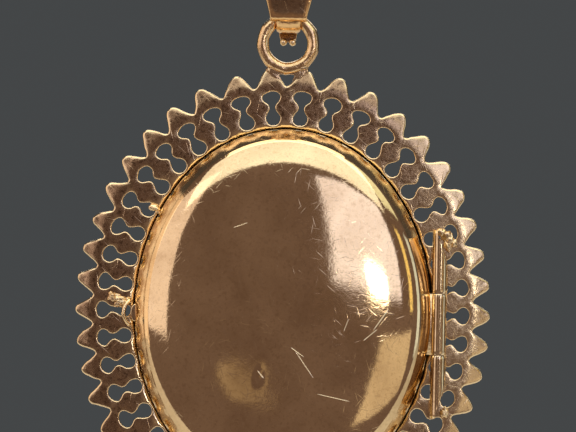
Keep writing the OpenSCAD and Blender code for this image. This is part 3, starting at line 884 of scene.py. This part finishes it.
# the solder under the ring: a web between the two top teeth, a lump on each and two more on the web
web = {"outline": ((-1.85, 23.7), (-1.3, 23.15), (-0.55, 23.0), (-0.8, 23.45), (-0.72, 23.58), (0.0, 23.62),
                   (0.62, 23.56), (0.70, 23.44), (0.5, 23.0), (1.3, 23.15), (1.85, 23.7), (1.8, 24.2),
                   (1.55, 24.5), (0.8, 24.1), (0.0, 23.95), (-0.8, 24.1), (-1.55, 24.5), (-1.8, 24.2)),
       "back": -0.36, "front": 0.34, "tipLump": (0.3, 0.3, 0.34),
       "lumps": ((1.5, -0.3, 0.25, (0.5, 0.26, 0.3), 9), (0.5, -0.28, 0.0, (0.55, 0.2, 0.16), 10))}
tips = [onOval(math.pi / 2 + side * math.pi / border["teeth"], border["reach"]) for side in (-1, 1)]
plate = roundedPlate("web", web["outline"], web["back"], web["front"], 0.1)
shells = [([(v.co.x / mm, v.co.y / mm, v.co.z / mm - ovalZ) for v in plate.data.vertices],
           [tuple(f.vertices) for f in plate.data.polygons])]
bpy.data.objects.remove(plate)
shells += [lumpParts((x * 1.02, -0.02, z - 0.05), web["tipLump"], i, 0.3) for i, (x, z) in enumerate(tips)]
shells += [lumpParts((x, y, tips[0][1] + z), radii, seed, 0.45) for x, y, z, radii, seed in web["lumps"]]
finish(addShells("ringSolder", shells, 0.15), trimGold, "solder_gold", "locket", "ring_solder")

# back cover

cover = {"sheet": 0.4, "skirt": 0.75, "wall": 1.25, "lean": 0.95, "power": 2.35, "start": 0.2, "lip": 0.1,
         "waves": 0.035, "calmFrom": 0.86, "nick": (-2.15, -6.15, 0.42, 0.07), "around": 288}


# the side view of a dome from its middle to its foot, as a curve between a circle and a square
def domeSection(inset, base, rise, power, start, steps):
    full = (1 - start ** power) ** (1 / power)
    section = []
    for i in range(steps + 1):
        share = math.sin(math.pi / 2 * i / steps)
        h = (1 - (share * full) ** power) ** (1 / power)
        section.append((inset, share, base + rise * (h - start) / (1 - start), 0.0))
    return section


def makeCover():
    s = cover
    low, high = nodeBox("back_cover")
    foot, top = -high[1], -low[1]
    skirt = foot + s["skirt"]
    shoulder = skirt + s["wall"]
    rise = top - shoulder
    t = s["sheet"]
    outside = domeSection(s["lean"], shoulder, rise, s["power"], s["start"], 44)
    outside += [(s["lean"] * (1 - k), 1.0, shoulder - s["wall"] * k, 0.15) for k in (0.2, 0.4, 0.6, 0.8, 0.97)]
    outside += [(0.0, 1.0, y, 0.2) for y in (skirt - 0.06, foot + 0.4, foot + 0.14)]
    outside += roundCorner(0.0, foot, 1, 1, s["lip"])[::-1]
    inside = roundCorner(t, foot, -1, 1, 0.06) + [(t, 1.0, skirt - 0.06, 0.0), (t, 1.0, skirt, 0.0)]
    inside += domeSection(s["lean"] + t, shoulder, rise - t, s["power"], s["start"], 26)[::-1]
    section = [(inset, share, -y, wear) for inset, share, y, wear in outside + inside]

    def shape(p, share):
        x, y, z = p
        calm = 1 - smooth(s["calmFrom"], 1.0, share)
        wave = noise.noise(Vector((x * 0.11, z * 0.11, 1.7)))
        wave += 0.35 * noise.noise(Vector((x * 0.33, z * 0.33, 4.1)))
        y += s["waves"] * calm * (wave - 0.25)
        nx, nz, size, deep = s["nick"]
        y += deep * math.exp(-((x - nx) ** 2 + ((z - nz) * 0.6) ** 2) / size ** 2) * calm
        return x, y, z

    return ovalSkin("backCover", section, False, s["around"], shape)


finish(makeCover(), coverGold, "cover_gold", "cover", "back_cover")
print("cover ready")

# front shell and its twisted wire

front = {"sheet": 0.4, "side": 1.3, "inset": 0.25, "power": 2.35, "turns": 78, "strandOffset": 0.2, "strand": 0.21,
         "steps": 1560}


def makeFront():
    s = front
    low, high = nodeBox("front_shell")
    y0, top = low[1], high[1]
    side = y0 + s["side"]
    t = s["sheet"]
    section = domeSection(s["inset"], side, top - side, s["power"], 0.0, 40)
    section += roundCorner(s["inset"], y0, 1, 1, 0.05)[::-1] + [(s["inset"] + t, 1.0, y0, 0.0)]
    section += domeSection(s["inset"] + t, side, top - side - t, s["power"], 0.0, 24)[::-1]
    return ovalSkin("frontShell", section, False)


def makeTwistTree():
    tree, given, out = newTree("twistedWire", [
        ("Steps", "Int", 1200), ("Turns", "Float", 70.0), ("Strand Offset", "Float", 0.2),
        ("Strand Radius", "Float", 0.2), ("Out", "Float", 0.2), ("Height", "Float", 0.9),
        ("Material", "Material", None)])
    op = mathIn(tree)
    join = tree.nodes.new("GeometryNodeJoinGeometry")
    thick = op("MULTIPLY", given.outputs["Strand Radius"], mm)
    profile = place(tree, "GeometryNodeCurvePrimitiveCircle", {"Radius": thick}, Resolution=8)
    for phase in (0.0, math.pi):
        loop = place(tree, "GeometryNodeCurvePrimitiveCircle", {"Resolution": given.outputs["Steps"]})
        index = place(tree, "GeometryNodeInputIndex").outputs[0]
        share = op("DIVIDE", op("MULTIPLY", index, 2 * math.pi), given.outputs["Steps"])
        turn = op("ADD", op("MULTIPLY", share, given.outputs["Turns"]), phase)
        offset, height = (op("ADD", given.outputs[middle], op("MULTIPLY", given.outputs["Strand Offset"],
                                                              op(wave, turn)))
                          for middle, wave in (("Out", "COSINE"), ("Height", "SINE")))
        px, pz = ovalNodes(op, share, offset)
        moved = place(tree, "GeometryNodeSetPosition", {"Geometry": loop.outputs["Curve"],
                                                        "Position": toMetres(tree, px, height, pz)})
        swept = place(tree, "GeometryNodeCurveToMesh", {"Curve": moved.outputs[0],
                                                        "Profile Curve": profile.outputs["Curve"]})
        tree.links.new(swept.outputs[0], join.inputs[0])
    real = place(tree, "GeometryNodeRealizeInstances", {"Geometry": join.outputs[0]})
    return endTree(tree, given, out, real.outputs[0])


finish(makeFront(), coverGold, "cover_gold", "locket", "front_shell")
wireLow, wireHigh = nodeBox("front_twist_wire")
wireR = (wireHigh[1] - wireLow[1]) / 2
twist = grown("frontTwistWire", makeTwistTree(), {
    "Steps": front["steps"], "Turns": float(front["turns"]), "Strand Offset": front["strandOffset"],
    "Strand Radius": front["strand"], "Out": wireR - front["inset"], "Height": wireLow[1] + wireR,
    "Material": trimGold})
twist.data.attributes.new("edge", "FLOAT", "POINT")
finish(twist, trimGold, "trim_gold", "locket", "front_twist_wire")
print("front ready")

# case and picture

# a ring has a width, a disc has none; the next number rounds its edges
for name, node, width, rounded, material, slot in (
        ("caseWall", "case_wall", 0.45, 0.1, caseGold, "case_gold"),
        ("compartmentFloor", "compartment_floor", None, 0.05, caseGold, "case_gold"),
        ("pictureBacking", "picture_backing", None, 0.05, silk, "backing_cloth"),
        ("pictureCard", "picture_card", None, 0.05, paper, "picture_card"),
        ("pictureGlass", "picture_glass", None, 0.05, glass, "picture_glass"),
        ("glassRim", "glass_rim", 0.8, 0.12, caseGold, "case_gold")):
    low, high = nodeBox(node)
    inset = caseA - high[0]
    if width:
        piece = ovalRing(name, inset, inset + width, low[1], high[1], rounded)
    else:
        piece = ovalDisc(name, inset, low[1], high[1], rounded)
    finish(piece, material, slot, "locket", node)
print("case ready")

# hinge

hinge = {"bore": 0.28, "clear": 0.05, "pinFree": 0.005, "filed": 3.7, "filedLeast": 0.14, "filedCurve": 0.6,
         "rows": 40, "sides": 56, "seamAt": -1.75, "seam": 0.05, "seamWidth": 0.07, "endRound": 0.06,
         "beads": 13, "spill": ((0.1, 8.25, 0.42, 0.42), (0.55, 7.95, 0.5, 0.5), (1.0, 7.5, 0.42, 0.55),
                                (0.8, 7.0, 0.4, 0.6), (1.35, 7.15, 0.34, 0.4), (0.75, -9.6, 0.4, 0.5))}
hingeX, hingeY = (v / mm for v in joints["cover_hinge"]["pos_m"][:2])


# a length of tube, its free end filed away to a point on the side of the border
def knuckle(name, node, filedWay, bore):
    s = hinge
    low, high = nodeBox(node)
    radius = (high[1] - low[1]) / 2
    left = hingeX - radius
    flat = high[2] - s["filed"] if filedWay > 0 else low[2] + s["filed"]
    last = s["rows"]
    outside, bored = [], []
    for i in range(last + 1):
        z = low[2] + (high[2] - low[2]) * i / last
        k = (z - flat) * filedWay / s["filed"]
        reach = left + 2 * radius * (max(s["filedLeast"], 1 - k) ** s["filedCurve"] if k > 0 else 1)
        edgeIn = s["endRound"] * {0: 1, 1: 0.25, last - 1: 0.25, last: 1}.get(i, 0)
        outer, inner = [], []
        for c in range(s["sides"]):
            a = 2 * math.pi * c / s["sides"]
            off = (a - s["seamAt"] + math.pi) % (2 * math.pi) - math.pi
            r = radius - edgeIn - s["seam"] * math.exp(-(off / s["seamWidth"]) ** 2)
            outer.append((min(hingeX + r * math.cos(a), reach), hingeY + r * math.sin(a), z))
            inner.append((min(hingeX + bore * math.cos(a), reach), hingeY + bore * math.sin(a), z))
        outside.append(outer)
        bored.append(inner)
    rows = outside + bored[::-1]
    edge = [0.9 if i in (0, 1, last - 1, last) else 0.15 for i in range(len(rows)) for _ in range(s["sides"])]
    verts = [p for row in rows for p in row]
    return addMesh(name, verts, gridFaces(len(rows), s["sides"], closeRows=True), edge, sharp=50)


for name, node, filedWay, clear, body in (
        ("hingeKnuckleUpper", "hinge_knuckle_upper", 1, 0.0, "locket"),
        ("hingeKnuckleLower", "hinge_knuckle_lower", -1, 0.0, "locket"),
        ("hingeKnuckleMiddle", "hinge_knuckle_middle", 0, hinge["clear"], "cover")):
    finish(knuckle(name, node, filedWay, hinge["bore"] + clear), hingeGold, "hinge_gold", body, node)
low, high = nodeBox("hinge_pin")
pinPath = [(hingeX, hingeY, low[2] + (high[2] - low[2]) * i / 8) for i in range(9)]
finish(addShells("hingePin", [tubeAlong(pinPath, hinge["bore"] - hinge["pinFree"], 24)]), hingeGold, "pin_gold",
       "locket", "hinge_pin")

# solder along the filed ends, and what spilled past them
low, high = nodeBox("hinge_feet")
solderY = -borderHalf - 0.12
shells = []
for i in range(hinge["beads"]):
    k = i / (hinge["beads"] - 1)
    for end, way in ((high[2] - 0.1, -1), (low[2] + 0.1, 1)):
        z = end + way * (0.2 + 3.9 * k)
        x = min(hingeX + 0.62, hingeX - 0.05 + 0.75 * math.sqrt(k * 1.1 + 0.05))
        size = 0.34 if k < 0.35 else 0.22
        shells.append(lumpParts((x, solderY, z), (size, 0.3, 0.42), i * 7 + way, 0.3, 8, 12))
for i, (x, z, w, h) in enumerate(hinge["spill"]):
    shells.append(lumpParts((hingeX + x, solderY, z), (w, 0.34, h), 31 + i, 0.55))
finish(addShells("hingeSolder", shells), solderGold, "solder_gold", "locket", "hinge_feet")

low, high = nodeBox("hinge_leaf")
leaf = [(low[0] - 0.1, low[2]), (high[0] + 0.1, low[2]), (high[0] + 0.1, high[2]), (low[0] - 0.1, high[2])]
finish(roundedPlate("hingeLeaf", leaf, low[1], high[1], 0.05), solderGold, "solder_gold", "cover", "hinge_leaf")
print("hinge ready")

# snap rim, finger tab, thumb guard, eyelet

snap = {"thick": 0.35, "stop": 0.35, "steps": 200}


def makeSnapRim():
    low, high = nodeBox("cover_snap_rim")
    outer = caseA + low[0]
    inner = outer + snap["thick"]
    stop = math.acos(snap["stop"] * caseA / (caseA - outer))
    rings = []
    for i in range(snap["steps"] + 1):
        t = stop + (2 * math.pi - 2 * stop) * i / snap["steps"]
        ring = []
        for inset, y in ((outer, high[1]), (outer, low[1] + 0.04), (outer + 0.08, low[1]), (inner - 0.1, low[1]),
                         (inner, low[1] + 0.1), (inner, high[1])):
            ring.append(((caseA - inset) * math.cos(t), y, (caseB - inset) * math.sin(t)))
        rings.append(ring)
    return capped(rings, "coverSnapRim", sharp=40)


finish(makeSnapRim(), caseGold, "case_gold", "cover", "cover_snap_rim")

low, high = nodeBox("finger_tab")
mid = (low[2] + high[2]) / 2
tab = []
for i in range(13):
    a = math.pi / 2 + math.pi * i / 12
    tab.append((low[0] + 0.42 + 0.42 * math.cos(a), mid + (high[2] - low[2]) / 2 * math.sin(a)))
tab += [(high[0] + 0.35, low[2]), (high[0] + 0.35, high[2])]
finish(roundedPlate("fingerTab", tab, low[1], high[1], 0.09), trimGold, "trim_gold", "cover", "finger_tab")


# a half ring that stands on the border, and the solder that holds it: place, width, height and depth of a lump
guard = {"inset": 0.4, "up": -0.25, "radius": 1.75, "thick": 0.4, "from": 124, "sweep": 112, "steps": 32,
         "lowest": 0.55, "lumps": ((-16.95, 1.3, 0.42, 0.5, 0.5), (-16.5, 1.15, 0.45, 0.4, 0.3),
                                   (-16.05, 0.95, 0.5, 0.42, 0.34), (-15.6, 0.7, 0.42, 0.36, 0.3),
                                   (-16.3, 0.55, 0.4, 0.34, 0.22), (-15.3, 0.95, 0.3, 0.3, 0.34))}


def makeGuard():
    s = guard
    low, high = nodeBox("thumb_guard")
    cx, cz, r, t = -caseA + s["inset"], s["up"], s["radius"], s["thick"]
    profile = ((r, 0.0), (r + 0.02, 0.4), (r - 0.05, 0.85), (r - 0.14, 1.0), (r - t + 0.1, 1.0), (r - t, 0.9),
               (r - t + 0.05, 0.4), (r - t, 0.0))
    rings = []
    for i in range(s["steps"] + 1):
        k = i / s["steps"]
        a = math.radians(s["from"] + s["sweep"] * k)
        height = (high[1] - low[1]) * (s["lowest"] + (1 - s["lowest"]) * math.sin(math.pi * k) ** 0.6)
        rings.append([(cx + rr * math.cos(a), high[1] - height * y, cz + rr * math.sin(a)) for rr, y in profile])
    edge = [0.9 if j in (2, 3, 4) else 0.2 for _ in rings for j in range(len(profile))]
    return capped(rings, "thumbGuard", edge)


finish(makeGuard(), trimGold, "trim_gold", "locket", "thumb_guard")
shells = [lumpParts((x, -borderHalf - 0.05, z), (w, d, h), 41 + i, 0.6)
          for i, (x, z, w, h, d) in enumerate(guard["lumps"])]
finish(addShells("guardSolder", shells), solderGold, "solder_gold", "locket", "guard_solder")

# a bent stub of wire and its two lumps of solder, each y counted from the back of the border
eyelet = {"wire": 0.2, "path": ((-13.15, 0.15, 10.35), (-13.1, 0.5, 10.2), (-12.8, 0.62, 10.1),
                                (-12.5, 0.5, 9.98), (-12.4, 0.2, 9.8)),
          "lumps": ((-12.95, 0.34, 10.2, (0.46, 0.36, 0.42)), (-12.5, 0.2, 9.8, (0.3, 0.3, 0.3)))}
shells = [tubeAlong([(x, -borderHalf - y, z) for x, y, z in eyelet["path"]], eyelet["wire"], 12)]
shells += [lumpParts((x, -borderHalf - y, z), radii, 51 + i, 0.35)
           for i, (x, y, z, radii) in enumerate(eyelet["lumps"])]
finish(addShells("safetyEyelet", shells, 0.5), solderGold, "solder_gold", "locket", "safety_eyelet")
print("catch ready")

# bail

bail = {"sheet": 0.4, "fold": 1.2, "shoulder": 1.8, "plate": 0.26, "foot": 0.55, "arc": 40, "straight": 14,
        "lighten": 0.9, "room": 0.24, "plateTop": 0.86, "drop": 0.33, "beadRound": 0.06}


# the strip's two turns, seen from the side, and how far its straight runs lean
def bailShape():
    low, high = nodeBox("bail_strip")
    foldZ = joints["locket_swing"]["pos_m"][2] / mm - ovalZ
    eyeZ = -ovalZ
    eyeR = high[1] - bail["sheet"] / 2
    foldR = foldZ - low[2] - bail["sheet"] / 2
    tilt = math.asin((eyeR - foldR) / (eyeZ - foldZ))
    return high[0], foldZ, eyeZ, eyeR, foldR, tilt


def makeBail():
    s = bail
    widest, foldZ, eyeZ, eyeR, foldR, tilt = bailShape()
    flare = widest - s["shoulder"]
    rise = eyeZ - foldZ
    outline = [(foldZ - 9, s["fold"]), (foldZ - 0.45, s["fold"]), (foldZ - 0.2, (s["fold"] + s["shoulder"]) / 2),
               (foldZ + 0.05, s["shoulder"]), (foldZ + rise * 0.33, s["shoulder"] + flare * 0.4),
               (foldZ + rise * 0.65, s["shoulder"] + flare * 0.75), (eyeZ, widest), (eyeZ + 9, widest)]

    def halfAt(z):
        for (z0, w0), (z1, w1) in zip(outline, outline[1:]):
            if z <= z1:
                return w0 + (w1 - w0) * (z - z0) / (z1 - z0)
        return widest

    path = []   # y, z, outward y, outward z
    def bend(r, z, start, sweep):
        for i in range(s["arc"] + 1):
            a = start + sweep * i / s["arc"]
            path.append((r * math.cos(a), z + r * math.sin(a), math.cos(a), math.sin(a)))

    def straight(a, shares):
        for k in shares:
            r = eyeR + (foldR - eyeR) * k
            path.append((r * math.cos(a), eyeZ + (foldZ - eyeZ) * k + r * math.sin(a), math.cos(a), math.sin(a)))

    down = [i / s["straight"] for i in range(1, s["straight"])]
    bend(eyeR, eyeZ, -tilt, math.pi + 2 * tilt)
    straight(math.pi + tilt, down)
    bend(foldR, foldZ, math.pi + tilt, math.pi - 2 * tilt)
    straight(-tilt, [1 - k for k in down])
    # half of the strip's section, outside first: in from the edge, out from the middle of the sheet, wear
    t = s["sheet"] / 2
    half = [(0.62, t, 0.0), (0.36, t - 0.01, 0.5), (0.1, t - 0.13, 0.9), (0.02, t - 0.2, 1.0), (0.0, -t + 0.12, 0.8),
            (0.08, -t + 0.02, 0.3), (0.2, -t, 0.0)]
    verts, edge = [], []
    for y, z, ny, nz in path:
        w = halfAt(z)
        lighten = s["lighten"] * smooth(0.1, 0.6, foldZ - z)   # the ring keeps the fold bright
        ring = [(w - d, n, max(e, lighten)) for d, n, e in half]
        ring += [(-x, n, e) for x, n, e in ring[::-1]]
        for x, n, e in ring:
            verts.append((x, y + ny * n, z + nz * n))
            edge.append(e)
    faces = gridFaces(len(path), len(half) * 2, closeRows=True)
    # the front plate, whose foot stands proud of the fold
    plate = []
    for i in range(13):
        k = i / 12
        z = foldZ - s["foot"] + (eyeZ - foldZ) * s["plateTop"] * k
        front = -(foldR + s["sheet"] / 2) / math.cos(tilt) - (z - foldZ) * math.tan(tilt)
        free = s["room"] * smooth(0.3, 0.0, z - foldZ)   # room for the ring to swing behind the foot
        plate.append((z, halfAt(max(z, foldZ) + 0.12) + 0.02, front + 0.1 - free,
                      front - s["plate"] * (1 - k) - 0.005 - free * 0.5))
    profile = ((0.0, 0.0, 0.2), (0.03, 0.55, 1.0), (0.12, 0.86, 1.0), (0.3, 1.0, 0.6), (0.62, 1.0, 0.0))
    rows = []
    for i, (z, w, y0, y1) in enumerate(plate):
        sunk = (0.55, 0.1)[i] if i < 2 else 0.0
        row = [(w - d, y0 + (y1 - y0) * h * (1 - sunk), z + (0.05 if i == 0 else 0), e) for d, h, e in profile]
        row += [(-x, y, zz, e) for x, y, zz, e in row[::-1]]
        rows.append(row)
    rows.insert(0, [(x, plate[0][2], z + 0.04, e) for x, y, z, e in rows[0]])
    base = len(verts)
    for i, row in enumerate(rows):
        for x, y, z, e in row:
            verts.append((x, y, z))
            edge.append(max(e, 1.0 if i in (1, 2) else 0.0))
    n = len(profile) * 2
    faces += [tuple(base + i for i in f) for f in gridFaces(len(rows), n)]
    faces += [tuple(base + c for c in range(n))[::-1], tuple(base + (len(rows) - 1) * n + c for c in range(n))]
    return addMesh("bailStrip", verts, faces, edge)


def makeDrop():
    _, foldZ, _, _, foldR, tilt = bailShape()
    foot = nodeBox("bail_drop")[0][2]
    right = [(0.76, foot), (0.92, foot + 0.9), (1.15, foot + 1.5), (1.6, foldZ + 0.6), (0.9, foldZ + 1.6)]
    outline = right + [(-x, z) for x, z in right[::-1]]
    fine = []
    for i, (x, z) in enumerate(outline):
        bx, bz = outline[(i + 1) % len(outline)]
        fine += [(x + (bx - x) * k / 4, z + (bz - z) * k / 4) for k in range(4)]
    for _ in range(2):
        fine = [((fine[i - 1][0] + 2 * p[0] + fine[(i + 1) % len(fine)][0]) / 4,
                 (fine[i - 1][1] + 2 * p[1] + fine[(i + 1) % len(fine)][1]) / 4) for i, p in enumerate(fine)]
    obj = roundedPlate("bailDrop", fine, 0.0, bail["drop"], 0.1)
    r = foldR + bail["sheet"] / 2 + 0.01
    for v in obj.data.vertices:   # lean it onto the front of the strip
        z = v.co.z / mm - ovalZ - foldZ
        v.co.y = (v.co.y / mm + r / math.cos(tilt) + z * math.tan(tilt)) * mm
    return obj


finish(makeBail(), strapShadedGold, "trim_gold", "bail", "bail_strip")
finish(makeDrop(), dropShadedGold, "trim_gold", "bail", "bail_drop")
low, high = nodeBox("bail_drop_beads")
beadR = (high[2] - low[2]) / 2
shells = [lumpParts((side * (high[0] - beadR * 0.9), (low[1] + high[1]) / 2, (low[2] + high[2]) / 2),
                    (beadR * 1.08, beadR, beadR * 1.1), 60 + side, bail["beadRound"]) for side in (-1, 1)]
finish(addShells("bailBeads", shells, 0.4), solderGold, "trim_gold", "bail", "bail_drop_beads")
print("bail ready")

# floor, lights, camera

stage = {"floorGap": 95.0, "floor": (0.78, 0.77, 0.75), "floorRough": 0.9, "wide": 1.3, "near": 0.13, "far": 1.3,
         "behind": (0.058, 0.062, 0.064), "before": (0.170, 0.118, 0.105)}
floorZ = cadBox[0][2] - stage["floorGap"] * mm
mesh = bpy.data.meshes.new("floor")
w, near, far = stage["wide"], -stage["near"], stage["far"]
mesh.from_pydata([(-w, near, floorZ), (w, near, floorZ), (w, far, floorZ), (-w, far, floorZ)], [], [(0, 1, 2, 3)])
floor = addToScene("floor", mesh)
plain, _, shader, _ = newMaterial("paleFloor")
shader.inputs["Base Color"].default_value = (*stage["floor"], 1.0)
shader.inputs["Roughness"].default_value = stage["floorRough"]
mesh.materials.append(plain)

middle = Vector((0, 0, ovalZ * mm))


# turn to the right and height in degrees, both seen from the locket, reach and size in metres
def softLight(name, turn, height, reach, size, glow, colour):
    light = bpy.data.lights.new(name, "AREA")
    light.shape = "RECTANGLE"
    light.size, light.size_y = size
    light.energy = glow * size[0] * size[1] * math.pi
    light.color = colour
    t, h = math.radians(turn), math.radians(height)
    obj = addToScene(name, light)
    obj.location = middle + reach * Vector((math.sin(t) * math.cos(h), -math.cos(t) * math.cos(h), math.sin(h)))
    obj.rotation_euler = (middle - obj.location).to_track_quat("-Z", "Y").to_euler()


lights = (("rightBox", 20.5, 12, 0.60, (0.27, 0.23), 1.5, (0.72, 0.75, 1.0)),
          ("rightLamp", 19.3, 2.6, 0.50, (0.056, 0.030), 9.0, (1.0, 0.97, 0.90)),
          ("leftBox", -50, 14, 0.60, (0.44, 0.44), 0.85, (0.98, 0.88, 0.90)),
          ("cornerBox", 62, 42, 0.65, (0.30, 0.34), 0.9, (0.90, 1.0, 0.78)),
          ("topBox", 0, 50, 0.60, (0.95, 0.50), 1.25, (0.92, 0.96, 0.97)),
          ("overBox", 0, 86, 0.60, (0.70, 0.34), 2.2, (1.0, 0.92, 0.74)),
          ("sideLeft", -90, 12, 0.70, (0.5, 0.6), 0.9, (1.0, 0.78, 0.60)),
          ("sideRight", 77, 4, 0.70, (0.22, 0.42), 0.85, (0.72, 0.90, 1.0)),
          ("goldCard", 48, 9, 0.60, (0.07, 0.20), 1.0, (1.0, 0.80, 0.28)),
          ("lowBox", 35, -13, 0.60, (0.33, 0.17), 0.52, (1.0, 0.88, 0.66)),
          ("lowPatch", -6, -9.5, 0.60, (0.075, 0.045), 0.2, (1.0, 0.82, 0.50)),
          ("backBox", 170, 35, 0.80, (0.7, 0.5), 1.6, (1.0, 0.97, 0.94)))
for row in lights:
    softLight(*row)

# the room: darker and cooler behind the locket than before it
world = bpy.data.worlds.new("studio")
world.use_nodes = True
tree = world.node_tree
way = place(tree, "ShaderNodeSeparateXYZ", {"Vector": place(tree, "ShaderNodeTexCoord").outputs["Generated"]})
room = mixColour(tree, softRange(tree, way.outputs[1], -0.3, 0.6), stage["before"], stage["behind"])
tree.links.new(room, tree.nodes["Background"].inputs["Color"])
bpy.context.scene.world = world

shot = {"distance": 0.30, "lens": 189.2, "aside": 0.32, "above": 9.57, "azimuth": 0.0, "elevation": 0.0,
        "roll": 1.1}
target = middle + Vector((shot["aside"] * mm, 0, shot["above"] * mm))
az, el = math.radians(shot["azimuth"]), math.radians(shot["elevation"])
towards = Vector((-math.sin(az) * math.cos(el), -math.cos(az) * math.cos(el), math.sin(el)))
camera = bpy.data.cameras.new("camera")
camera.lens = shot["lens"]
camera.sensor_width = 36.0
camera.clip_start, camera.clip_end = 0.01, 20.0
cameraObj = addToScene("camera", camera)
cameraObj.location = target + shot["distance"] * towards
look = (target - cameraObj.location).to_track_quat("-Z", "Y").to_euler()
look.rotate_axis("Z", math.radians(shot["roll"]))
cameraObj.rotation_euler = look
bpy.context.scene.camera = cameraObj
bpy.context.scene.view_settings.view_transform = "Standard"
print("stage ready")
